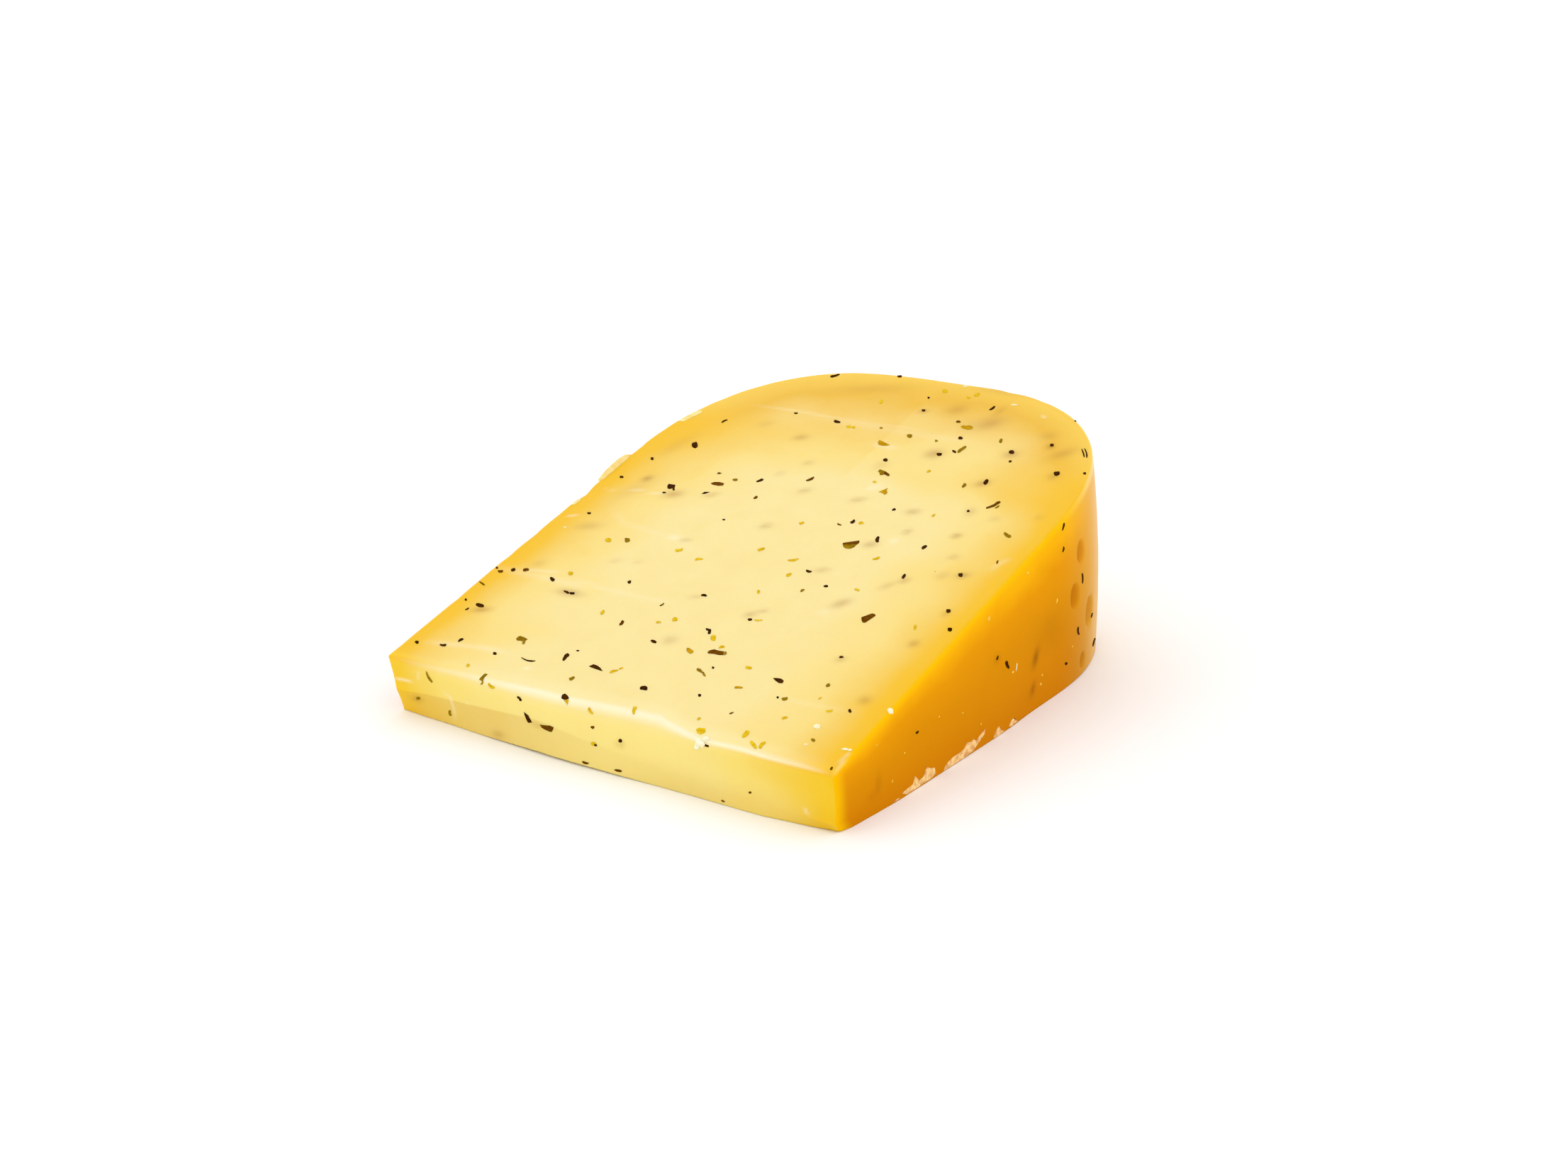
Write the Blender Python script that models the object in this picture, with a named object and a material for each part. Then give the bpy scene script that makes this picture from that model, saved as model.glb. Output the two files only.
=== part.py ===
"""A wedge of herb cheese, cut out of a round wheel and lying on one of its two cut faces.

The solid is a slice of the wheel between two flat cuts that both run through the wheel's axis. The
lower cut lies on the ground and the upper cut rises towards the rim. A third cut takes the thin tip
off, so the front is a low upright face, made with two strokes of the knife that meet in a crease.
Both flat sides of the wheel are the left and the right side of the wedge, and its bulging rim is the back.

Frame: +Z up, the ground at Z = 0, X across the wheel's thickness, +Y from the cut tip to the rim.
The origin is the middle of the bounding box, on the ground. Lengths are in metres.
"""

import math

import bmesh
import bpy
from mathutils import Vector

# The wheel that the wedge was cut from
WHEEL_RADIUS = 0.1843
WHEEL_THICKNESS = 0.1100
RIM_START_RADIUS = 0.1299
RIM_RADIAL_POWER = 2.39
RIM_SIDE_POWER = 2.86
FLAT_CROWN = 0.0008

# The two cuts through the axis, and the cut that takes the tip off
WEDGE_ANGLE = math.radians(17.0)
TIP_RADIUS_AT_BASE = 0.0464
TIP_RADIUS_AT_CREASE = 0.0448
TIP_RADIUS_AT_TOP = 0.0442
BASE_BOW = 0.0020
CREASE_BOW = 0.0014
TOP_SETBACK = 0.0015

# The knife's crease across the tip: places across the width, left to right, and heights as a share of the face
CREASE_PLACES = (0.0, 0.08, 0.25, 0.36, 0.5, 0.65, 0.8, 1.0)
CREASE_HEIGHTS = (0.38, 0.47, 0.55, 0.60, 0.45, 0.37, 0.28, 0.38)

# Roundings
TIP_EDGE_ROUNDING = 0.0030
CUT_EDGE_ROUNDING = 0.0010
TIP_CORNER_ROUNDING = 0.0015
ROUNDING_SEGMENTS = 3

# How finely the outline and the height are divided
TIP_STEPS = 24
FLANK_STEPS = 14
RIM_STEPS = 40
LEVELS = 8
CREASE_LEVEL = 3

PASTE_COLOUR = (0.98, 0.80, 0.36)
RIND_COLOUR = (0.80, 0.34, 0.01)


def between(places, values, place):
    """The value at a place, read off straight lines between the given values."""
    for i in range(len(places) - 1):
        if place <= places[i + 1]:
            share = (place - places[i]) / (places[i + 1] - places[i])
            return values[i] + (values[i + 1] - values[i]) * share
    return values[-1]


def crown(radius):
    """How far the wheel's flat side swells outwards at a radius."""
    share = (radius - TIP_RADIUS_AT_TOP) / (RIM_START_RADIUS - TIP_RADIUS_AT_TOP)
    if share <= 0.0 or share >= 1.0:
        return 0.0
    return FLAT_CROWN * math.sin(math.pi * share)


def half_thickness(radius):
    """Half the wheel's thickness at a radius: flat at first, then round the rim."""
    share = max(0.0, (radius - RIM_START_RADIUS) / (WHEEL_RADIUS - RIM_START_RADIUS))
    rim = max(0.0, 1.0 - share ** RIM_RADIAL_POWER) ** (1.0 / RIM_SIDE_POWER)
    return 0.5 * WHEEL_THICKNESS * rim + crown(radius)


def tip_radius(across, height):
    """The distance of the tip's face from the axis, at a place across the width and a share of the height."""
    bow = 4.0 * across * (1.0 - across)
    crease = between(CREASE_PLACES, CREASE_HEIGHTS, across)
    base = TIP_RADIUS_AT_BASE - BASE_BOW * bow
    middle = TIP_RADIUS_AT_CREASE - CREASE_BOW * bow
    top = TIP_RADIUS_AT_TOP + TOP_SETBACK * bow
    return between((0.0, crease, 1.0), (base, middle, top), height)


def height_at(level, across):
    """The share of the height at a level of the tip's face, with one level along the crease."""
    crease = between(CREASE_PLACES, CREASE_HEIGHTS, across)
    return between((0.0, CREASE_LEVEL, LEVELS), (0.0, crease, 1.0), level)


def at(x, radius, height):
    """A point of the wedge from its place across the wheel, its distance from the axis and its height share."""
    angle = WEDGE_ANGLE * height
    return Vector((x, radius * math.cos(angle), radius * math.sin(angle)))


def ring(level):
    """One closed loop of points round the wedge: along the tip, up one flank, round the rim and back."""
    points = []
    for i in range(TIP_STEPS):
        across = i / TIP_STEPS
        height = height_at(level, across)
        radius = tip_radius(across, height)
        points.append(at((2.0 * across - 1.0) * half_thickness(radius), radius, height))

    # Both ends of the crease lie on the flanks, so each flank starts from the tip's own heights
    flank = []
    tip_height = height_at(level, 1.0)
    even_height = level / LEVELS
    start = tip_radius(1.0, tip_height)
    for i in range(FLANK_STEPS):
        share = i / FLANK_STEPS
        radius = start + (RIM_START_RADIUS - start) * share
        height = tip_height + (even_height - tip_height) * min(1.0, 2.0 * share)
        flank.append((half_thickness(radius), radius, height))
    points += [at(x, radius, height) for x, radius, height in flank]

    # Round the rim, by the angle of the curve's own parameter, so that both of its ends are fine enough
    rim_depth = WHEEL_RADIUS - RIM_START_RADIUS
    for i in range(RIM_STEPS + 1):
        turn = math.pi * i / RIM_STEPS
        side = math.copysign(abs(math.cos(turn)) ** (2.0 / RIM_SIDE_POWER), math.cos(turn))
        radius = RIM_START_RADIUS + rim_depth * math.sin(turn) ** (2.0 / RIM_RADIAL_POWER)
        points.append(at(0.5 * WHEEL_THICKNESS * side, radius, even_height))

    points += [at(-x, radius, height) for x, radius, height in reversed(flank[1:])]
    return points


def wedge_mesh():
    """The wedge's sides as rings of quads, closed by the two flat cuts, with its edges marked for rounding."""
    bm = bmesh.new()
    rings = [[bm.verts.new(point) for point in ring(level)] for level in range(LEVELS + 1)]
    count = len(rings[0])
    for lower, upper in zip(rings, rings[1:]):
        for i in range(count):
            j = (i + 1) % count
            bm.faces.new((lower[i], lower[j], upper[j], upper[i]))
    bm.faces.new(reversed(rings[0]))
    bm.faces.new(rings[-1])

    # Rounding widths are shares of the widest one
    weight = bm.edges.layers.float.new("bevel_weight_edge")
    for edges_of, along_tip in ((rings[0], CUT_EDGE_ROUNDING), (rings[-1], TIP_EDGE_ROUNDING)):
        for i in range(count):
            edge = bm.edges.get((edges_of[i], edges_of[(i + 1) % count]))
            width = along_tip if i < TIP_STEPS else CUT_EDGE_ROUNDING
            edge[weight] = width / TIP_EDGE_ROUNDING
    for corner in (0, TIP_STEPS):
        for lower, upper in zip(rings, rings[1:]):
            bm.edges.get((lower[corner], upper[corner]))[weight] = TIP_CORNER_ROUNDING / TIP_EDGE_ROUNDING

    bmesh.ops.recalc_face_normals(bm, faces=bm.faces[:])
    mesh = bpy.data.meshes.new("cheese_wedge")
    bm.to_mesh(mesh)
    bm.free()
    return mesh


def matt_material(name, colour, roughness):
    """A plain finish for one surface of the wedge."""
    material = bpy.data.materials.new(name)
    material.use_nodes = True
    shader = material.node_tree.nodes["Principled BSDF"]
    shader.inputs["Base Color"].default_value = (*colour, 1.0)
    shader.inputs["Roughness"].default_value = roughness
    material.diffuse_color = (*colour, 1.0)
    return material


def colour_rind(mesh):
    """Gives the wheel's flats and rim the rind, and the three cuts the paste."""
    mesh.materials.append(matt_material("cheese paste", PASTE_COLOUR, 0.45))
    mesh.materials.append(matt_material("cheese rind", RIND_COLOUR, 0.40))
    for face in mesh.polygons:
        outward = abs(face.normal.x) > 0.5 or (face.normal.y > 0.5 and abs(face.normal.z) < 0.5)
        face.material_index = 1 if outward else 0


def centre_on_ground(wedge):
    """Moves the mesh so that the middle of the finished solid's box stands at the origin, on the ground."""
    depsgraph = bpy.context.evaluated_depsgraph_get()
    finished = wedge.evaluated_get(depsgraph).to_mesh()
    low = Vector(min(v.co[axis] for v in finished.vertices) for axis in range(3))
    high = Vector(max(v.co[axis] for v in finished.vertices) for axis in range(3))
    wedge.evaluated_get(depsgraph).to_mesh_clear()
    shift = Vector((-0.5 * (low.x + high.x), -0.5 * (low.y + high.y), -low.z))
    for vertex in wedge.data.vertices:
        vertex.co += shift


def make_wedge():
    """The whole wedge, as one solid."""
    mesh = wedge_mesh()
    colour_rind(mesh)
    mesh.shade_smooth()
    mesh.set_sharp_from_angle(angle=math.radians(40.0))
    wedge = bpy.data.objects.new("cheese_wedge", mesh)
    bpy.context.scene.collection.objects.link(wedge)

    rounding = wedge.modifiers.new("rounded edges", "BEVEL")
    rounding.limit_method = "WEIGHT"
    rounding.width = TIP_EDGE_ROUNDING
    rounding.segments = ROUNDING_SEGMENTS
    centre_on_ground(wedge)
    return wedge


def main():
    for old in list(bpy.data.objects):
        bpy.data.objects.remove(old, do_unlink=True)
    make_wedge()


main()
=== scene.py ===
"""The looks of a wedge of herb cheese: its cut paste, its waxed rind, its herbs and its crumbs.

The wedge is a slice of a round wheel that lies on one of its cut faces, with the cut-off tip in front.
Lengths are in metres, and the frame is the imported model's: X across the wheel, +Y to the rim, +Z up.
"""

import math
from collections import namedtuple

import bmesh
import bpy
import numpy as np
from bpy.props import FloatProperty, FloatVectorProperty, IntProperty, PointerProperty
from bpy.types import Operator, Panel, PropertyGroup
from mathutils import Matrix, Vector
from mathutils.bvhtree import BVHTree


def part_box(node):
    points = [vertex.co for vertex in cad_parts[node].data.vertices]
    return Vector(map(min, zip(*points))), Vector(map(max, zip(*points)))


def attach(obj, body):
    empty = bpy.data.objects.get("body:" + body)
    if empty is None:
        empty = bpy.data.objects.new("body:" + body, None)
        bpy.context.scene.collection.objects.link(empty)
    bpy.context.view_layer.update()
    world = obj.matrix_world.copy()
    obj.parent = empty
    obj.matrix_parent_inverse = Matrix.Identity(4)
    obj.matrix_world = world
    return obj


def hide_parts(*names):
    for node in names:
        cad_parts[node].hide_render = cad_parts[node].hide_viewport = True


bl_info = {
    "name": "Herb cheese wedge",
    "version": (1, 0, 0),
    "blender": (4, 5, 0),
    "location": "3D View > Sidebar > Cheese",
    "description": "Makes a wedge of herb cheese with its rind, herbs and crumbs",
    "category": "Add Mesh",
}

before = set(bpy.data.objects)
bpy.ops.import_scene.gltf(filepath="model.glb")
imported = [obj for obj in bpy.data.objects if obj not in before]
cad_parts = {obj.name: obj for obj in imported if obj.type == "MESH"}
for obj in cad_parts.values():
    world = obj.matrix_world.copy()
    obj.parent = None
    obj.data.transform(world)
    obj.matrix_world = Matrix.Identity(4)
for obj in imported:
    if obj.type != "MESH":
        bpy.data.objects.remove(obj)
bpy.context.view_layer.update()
CAD_LOW, CAD_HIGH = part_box("cheese_wedge")

MM = 0.001
WHEEL_RADIUS = 184.3 * MM
AXIS_Y = CAD_HIGH.y - WHEEL_RADIUS

# The photograph's frame and lens, in its own pixels
PHOTO_WIDE, PHOTO_HIGH = 2212, 1659
SENSOR_MM = 36.0
LENS_MM = 50.0
FOCAL_PIXELS = LENS_MM / SENSOR_MM * PHOTO_WIDE

# Where the photograph was taken from: the place is measured from the wheel's axis
CAMERA_PLACE = Vector((251.7 * MM, AXIS_Y - 263.5 * MM, 167.7 * MM))
CAMERA_AZIMUTH = math.radians(34.12)
CAMERA_DROP = math.radians(18.15)
CAMERA_ROLL = math.radians(0.20)

# The tip's face, at shares of its width from its left. The first three give its shape: how far its top
# edge is set back, in mm, how far its foot lies from the wheel's axis, in mm, and the share of its height
# that its crease runs at. The rest give its wear and its painted light: how round its top edge is worn,
# how strong the painted highlight on that edge is, how much painted shade the stroke below the crease
# gets, how much painted shade the foot gets, and how far the foot bows up, in mm.
TOP_SETBACKS = ((0.0, 0.5), (0.09, 0.4), (0.17, 1.0), (0.26, 1.25), (0.35, 1.8), (0.42, 1.9),
                (0.54, 3.0), (0.615, 3.4), (0.66, 1.8), (0.72, 0.3), (0.80, 0.7), (0.87, 0.4),
                (1.0, 0.4))
BASE_RADII = ((0.0, 46.2), (0.065, 45.6), (0.13, 45.3), (0.24, 44.3), (0.32, 43.7), (0.39, 43.2),
              (0.46, 43.2), (0.54, 43.5), (0.62, 44.0), (0.70, 44.1), (0.78, 44.0), (0.85, 44.0),
              (0.95, 45.3), (1.0, 46.0))
CREASE_HEIGHTS = ((0.0, 0.38), (0.08, 0.47), (0.25, 0.55), (0.36, 0.60), (0.5, 0.45), (0.65, 0.35),
                  (0.8, 0.26), (0.95, 0.16), (1.0, 0.15))
EDGE_WEAR = ((0.0, 0.2), (0.06, 0.7), (0.3, 0.9), (0.6, 1.1), (0.72, 0.7), (1.0, 0.6))
EDGE_HIGHLIGHT = ((0.0, 0.0), (0.08, 0.15), (0.2, 0.6), (0.3, 1.0), (0.85, 1.0), (0.95, 0.4), (1.0, 0.0))
STROKE_SHADE = ((0.0, 0.3), (0.05, 0.75), (0.15, 0.9), (0.25, 1.0), (0.36, 0.7), (0.5, 0.3),
                   (0.62, 0.12), (0.72, 0.0))
FOOT_SHADE = ((0.0, 0.1), (0.5, 0.2), (0.62, 0.45), (0.72, 0.65), (0.86, 0.55), (1.0, 0.3))
FOOT_GAPS = ((0.2, 0.0), (0.36, 0.5), (0.5, 0.35), (0.62, 0.0))

# How far the flanks lie outside the wheel's plain outline, at distances from its axis, both in mm
LEFT_TOP_BULGES = (
    (44.0, 0.6), (50.0, 0.5), (63.0, 0.5), (90.0, 0.65), (108.0, 0.75), (110.5, 0.65), (112.5, 0.0),
    (117.0, 0.75), (126.0, 0.78), (134.0, 0.8), (140.0, 0.95), (148.0, 1.0), (158.0, 0.5), (170.0, 0.1),
)
RIGHT_FOOT_BULGES = (
    (46.0, -0.4), (49.0, 0.1), (61.0, 0.7), (68.0, 0.9), (80.0, 0.8), (88.0, 0.75), (103.0, 0.65),
    (111.0, 0.4), (119.0, -0.1), (128.0, -0.4), (137.0, -0.6), (144.0, -0.7), (151.0, -0.75),
    (158.0, -0.65), (168.0, 0.0),
)

# Herbs, read off the photograph: the middle, the length, the breadth and the turn of each, in its
# pixels and in degrees. The larger ones have an outline of their own.
Fleck = namedtuple("Fleck", "column row long broad turn")
DARK_HERBS = (
    (980, 628, 8, 8, 0), (920, 647, 4, 4, 0), (877, 673, 5, 3, 0), (831, 724, 5, 3, 0),
    (937, 695, 5, 2, 0), (1072, 678, 10, 3, 20), (1123, 583, 5, 2, 0), (1022, 594, 9, 2, 25),
    (1021, 733, 4, 2, 0), (1181, 595, 9, 4, -12), (1178, 530, 13, 3, 15), (1269, 531, 6, 3, 0),
    (1288, 531, 5, 2, -45), (1310, 561, 3, 3, 0), (1355, 618, 6, 4, 0), (1346, 637, 6, 3, -30),
    (1325, 641, 7, 4, 0), (1249, 649, 6, 4, 0), (1391, 680, 8, 5, 50), (1427, 638, 7, 5, 0),
    (1425, 651, 4, 3, 20), (1400, 576, 9, 3, 35), (1484, 628, 5, 4, 0), (1517, 594, 3, 2, 0),
    (1528, 639, 12, 2, -72), (1532, 639, 13, 2, -75), (1491, 668, 8, 6, 20), (1530, 668, 4, 3, 0),
    (1304, 772, 8, 4, 30), (1366, 721, 4, 3, 0), (1355, 811, 6, 5, 0), (1338, 862, 6, 5, 0),
    (1340, 888, 6, 5, 0), (1187, 927, 6, 3, 0), (1199, 1003, 5, 4, -60), (1097, 984, 3, 3, 0),
    (1238, 761, 8, 5, 75), (1203, 736, 7, 4, 35), (1261, 719, 5, 3, 25), (1275, 813, 7, 4, 55),
    (1165, 827, 6, 3, 0), (1141, 806, 8, 3, -12), (993, 840, 8, 3, -3), (888, 821, 5, 4, 35),
    (779, 817, 7, 5, -40), (799, 835, 8, 3, -22), (807, 837, 7, 3, 0), (701, 801, 3, 3, 0),
    (724, 804, 6, 4, 15), (657, 846, 3, 3, 0), (677, 854, 11, 5, -14), (659, 859, 6, 2, 28),
    (588, 906, 5, 4, -10), (625, 910, 9, 3, 0), (650, 903, 8, 3, 28), (745, 931, 20, 2, -14),
    (798, 927, 12, 5, 50), (815, 918, 4, 2, 0), (698, 922, 5, 4, 0), (922, 905, 8, 4, -20),
    (908, 971, 10, 6, 0), (998, 888, 5, 3, -20), (1001, 891, 7, 4, 75), (987, 981, 4, 4, 0),
    (1006, 942, 3, 3, 0), (840, 1051, 4, 3, -30), (875, 1045, 5, 5, 0), (997, 1052, 6, 3, -25),
    (1058, 874, 6, 3, 0), (1303, 579, 5, 3, 0),
)
BROWN_HERBS = (
    (1066, 702, 6, 3, 30), (1143, 676, 12, 3, 25), (1251, 669, 8, 4, -25), (706, 806, 7, 4, 0),
    (742, 804, 8, 4, 10), (680, 823, 9, 2, -35), (1173, 1084, 5, 3, 60), (1407, 793, 5, 2, 65),
    (836, 1026, 5, 4, 0), (1032, 1006, 6, 2, 20), (1184, 740, 6, 2, -20), (877, 879, 8, 4, 50),
    (934, 853, 7, 2, 35), (1352, 595, 6, 3, 0), (1058, 1118, 4, 3, 0), (826, 1076, 9, 3, -15),
    (872, 1087, 10, 3, -12), (1020, 1130, 5, 2, -20),
)
OLIVE_HERBS = (
    (1037, 677, 7, 3, 0), (1283, 615, 7, 5, 0), (1357, 634, 14, 4, 36), (1421, 755, 11, 5, -32),
    (1412, 622, 6, 4, 70), (1360, 685, 7, 4, 45), (807, 957, 8, 4, 25), (987, 946, 9, 4, -35),
    (993, 951, 7, 3, -60), (1321, 622, 4, 3, 0), (885, 762, 7, 6, 0), (605, 955, 17, 3, -62),
    (635, 1006, 8, 4, -75), (1132, 833, 6, 3, 28), (1147, 1044, 6, 4, -25), (1107, 986, 8, 4, 10),
    (1168, 967, 6, 4, 30), (590, 985, 5, 4, 0), (1243, 604, 4, 2, 0),
)
OCHRE_HERBS = ((1364, 603, 16, 5, -5), (973, 918, 10, 6, -30), (1042, 970, 11, 3, 0))
GOLD_HERBS = (
    (1243, 567, 6, 4, 60), (1378, 557, 8, 4, 20), (1333, 552, 7, 5, 0), (1366, 561, 6, 3, -20),
    (1107, 1013, 8, 3, 15), (1197, 602, 6, 4, 0), (1131, 738, 7, 3, 10), (866, 947, 12, 3, 15),
    (1119, 790, 15, 3, 8), (1074, 775, 10, 4, 18), (1113, 811, 8, 4, 25), (1236, 788, 10, 3, 15),
    (958, 776, 11, 4, 12), (986, 789, 11, 3, 8), (1006, 900, 7, 8, 0), (805, 809, 6, 5, 0),
    (858, 762, 8, 5, 0), (850, 864, 7, 4, 45), (952, 874, 7, 5, 20), (1070, 835, 4, 5, 0),
    (1291, 885, 7, 4, 80), (1056, 942, 9, 4, -10), (1234, 680, 5, 3, 0), (1310, 665, 6, 3, 20),
    (895, 1002, 11, 5, 75), (989, 1031, 12, 9, 15), (1052, 1036, 12, 6, 45), (1063, 1051, 13, 5, -52),
    (1075, 1051, 13, 5, 48), (693, 968, 11, 4, -35), (833, 1003, 10, 4, -60), (837, 1049, 6, 5, 0),
    (1215, 738, 7, 4, 0), (1070, 875, 11, 2, 0), (1209, 832, 7, 3, -20), (929, 878, 6, 3, 0),
    (1170, 1003, 9, 3, 10), (1204, 603, 5, 3, 0), (986, 1014, 5, 3, 30), (876, 943, 6, 2, 20),
    (1317, 727, 6, 2, 35), (1018, 913, 8, 3, 15), (1157, 985, 5, 2, 30), (660, 939, 5, 4, 40),
)
HERB_OUTLINES = {
    "dark_herbs": (
        ((830, 940), (837, 937), (842, 938.5), (847, 942), (850.5, 947), (848, 946.5), (842, 944.5),
         (836, 942.5)),
        ((739, 1004), (741.5, 1006), (745.5, 1009), (748.5, 1015), (751, 1019.5), (745, 1020),
         (742.5, 1015), (740, 1009)),
        ((791.5, 984), (793, 980), (797, 978), (801, 981), (803, 985), (800, 987), (796, 987.5),
         (792.5, 986)),
        ((1090, 956.5), (1095, 956.5), (1102.5, 957.5), (1106, 960.5), (1104.5, 964), (1099, 964),
         (1094, 960.5)),
        ((729, 984), (730, 981.5), (733, 983), (736.5, 987), (735.5, 989.5), (733, 989), (732, 986.5)),
        ((941, 686), (943, 682.5), (949, 683.5), (953, 684), (952, 688), (952, 692), (949, 692),
         (949, 689), (944, 690), (941.5, 689)),
        ((989.5, 697), (993.5, 694), (1001.5, 694), (995.5, 696.5)),
    ),
    "brown_herbs": (
        ((1188, 768), (1188.5, 766), (1200, 764.5), (1213, 762.5), (1213, 765.5), (1210, 768),
         (1200, 768.5), (1190, 769)),
        ((1214.5, 871), (1230.5, 865), (1234.5, 866), (1236, 868.5), (1222.5, 877.5), (1220, 879),
         (1216.5, 878.5), (1215, 875)),
        ((997.5, 920), (1000.5, 917.5), (1007.5, 916), (1014.5, 918), (1022, 919), (1021, 924.5),
         (1014.5, 924.5), (1006.5, 922.5), (998.5, 922)),
        ((761, 1022), (770, 1023), (776, 1023.5), (781.5, 1026), (780.5, 1029.5), (778.5, 1033),
         (774.5, 1032), (769, 1029.5), (764, 1026.5)),
        ((1002, 682), (1007.5, 680), (1015.5, 680), (1022, 682), (1020.5, 685), (1013.5, 685.5),
         (1005.5, 684)),
        ((1011, 668.5), (1014, 666), (1018.5, 667.5), (1015.5, 669)),
        ((1390.5, 716), (1396, 714), (1402, 711.5), (1407, 707.5), (1411, 706.5), (1412.5, 708.5),
         (1409, 711), (1402.5, 715), (1394, 717.5), (1390.5, 718)),
    ),
    "olive_herbs": (
        ((1188.5, 768.5), (1200, 768), (1210, 767.5), (1206, 771.5), (1201, 774), (1196.5, 774.5),
         (1192, 773.5), (1189.5, 771.5)),
        ((1022, 919), (1025, 919.5), (1025.5, 922), (1022, 925), (1021, 924)),
        ((1403, 716.5), (1409, 713), (1410.5, 713), (1408.5, 716), (1404, 717.5)),
        ((727.5, 901), (730.5, 898), (734, 897), (741, 899.5), (745, 902), (742, 903.5), (741, 906),
         (740, 909), (736.5, 909), (737.5, 905), (734, 904), (729, 903.5)),
        ((1238, 665), (1241, 662), (1245, 663.5), (1250, 665), (1255.5, 670), (1253.5, 670),
         (1249.5, 667.5), (1245, 670.5), (1241, 670.5), (1240.5, 667)),
        ((675.5, 959), (677.5, 956), (681.5, 952), (684.5, 950), (689, 951), (685, 954), (682, 958),
         (682, 963), (681, 966), (677.5, 966.5), (679.5, 963), (680, 961)),
    ),
    "ochre_herbs": (
        ((1240, 621), (1244, 622), (1251, 625.5), (1256, 628), (1251, 629), (1244, 629), (1239, 627.5),
         (1238, 624)),
        ((1239, 694), (1245, 691.5), (1252.5, 688.5), (1251, 691.5), (1252, 695), (1250, 697.5),
         (1247, 698), (1245.5, 696)),
    ),
    "gold_herbs": (
        ((795, 988), (802.5, 986.5), (802, 991), (800.5, 995), (798, 991)),
    ),
}
RIND_HERBS = (
    (1500, 743, 11, 2, 76), (1500, 775, 8, 2, 80), (1527, 816, 14, 2, -88), (1521, 890, 11, 3, -86),
    (1543, 906, 12, 2, 76), (1540, 868, 7, 2, 72), (1421, 938, 11, 4, -72), (1504, 936, 4, 3, 60),
    (1430, 1016, 6, 4, 50), (1294, 1033, 5, 3, 45), (1407, 928, 6, 2, 70),
)

# Blurred flecks that lie just under the surface, in the photograph's pixels and degrees
Smudge = namedtuple("Smudge", "column row wide high turn strength")
SMUDGES = (
    (950, 697, 26, 10, 0, 0.40), (913, 675, 14, 8, 0, 0.45), (1130, 617, 20, 8, 0, 0.32),
    (1135, 692, 18, 7, 10, 0.28), (1140, 653, 14, 7, 0, 0.22), (1350, 578, 30, 14, 20, 0.25),
    (1400, 596, 40, 16, 20, 0.25), (1410, 580, 20, 8, 40, 0.20), (1480, 615, 26, 12, 0, 0.18),
    (1500, 640, 40, 12, 20, 0.25), (1349, 756, 14, 7, 0, 0.42), (1289, 908, 16, 10, 0, 0.35),
    (1345, 786, 16, 8, 0, 0.22), (1220, 988, 20, 12, 10, 0.30), (1318, 640, 26, 12, 10, 0.40),
    (1243, 656, 20, 12, 0, 0.15), (1426, 641, 22, 10, 10, 0.35), (1228, 768, 20, 9, 0, 0.35),
    (1252, 826, 26, 8, 22, 0.20), (1276, 819, 14, 8, 20, 0.30), (1187, 851, 28, 10, 20, 0.33),
    (1280, 750, 12, 8, 0, 0.30), (1288, 723, 20, 7, 0, 0.25), (1210, 705, 22, 7, 5, 0.28),
    (945, 903, 22, 12, 10, 0.25), (982, 842, 18, 6, 0, 0.20), (1080, 742, 16, 8, 0, 0.28),
    (803, 836, 34, 10, -12, 0.40), (679, 860, 26, 8, 0, 0.40), (830, 742, 36, 10, 0, 0.22),
    (760, 795, 20, 10, 0, 0.15), (1058, 867, 18, 8, 10, 0.30), (1076, 862, 14, 6, 0, 0.25),
    (967, 762, 16, 6, 0, 0.22), (1160, 804, 22, 7, 0, 0.25), (1386, 682, 22, 9, 15, 0.40),
    (1486, 672, 16, 10, 0, 0.30), (1482, 630, 14, 8, 0, 0.35), (588, 986, 16, 10, 0, 0.40),
    (703, 1036, 16, 12, 0, 0.35), (760, 1024, 20, 8, -20, 0.25), (875, 1050, 12, 12, 0, 0.30),
    (1334, 866, 12, 8, 0, 0.25), (1186, 930, 16, 8, 0, 0.25), (1003, 698, 22, 7, 5, 0.25),
    (1461, 928, 7, 28, -6, 0.60), (1457, 972, 6, 22, -12, 0.48), (1407, 930, 8, 12, 0, 0.30),
    (1369, 722, 16, 12, 0, 0.22), (1482, 888, 44, 60, 0, 0.13), (1415, 552, 80, 10, -10, 0.18),
    (1230, 548, 130, 12, 2, 0.14), (895, 690, 70, 16, 25, 0.10), (1358, 812, 20, 8, 5, 0.40),
    (1330, 812, 20, 10, 20, 0.18), (1288, 720, 18, 6, 0, 0.15), (955, 628, 60, 14, 30, 0.12),
    (1239, 1107, 9, 26, 20, 0.20), (1230, 1124, 12, 14, 20, 0.12), (1380, 600, 60, 20, 0, 0.10),
    (868, 791, 14, 6, 0, 0.15), (900, 793, 12, 6, 0, 0.12), (1080, 598, 24, 8, 10, 0.12),
    (1100, 668, 12, 7, 0, 0.14), (1303, 580, 12, 6, 0, 0.35), (1466, 730, 14, 8, 0, 0.12),
    (1403, 732, 16, 8, 0, 0.15),
)

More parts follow.
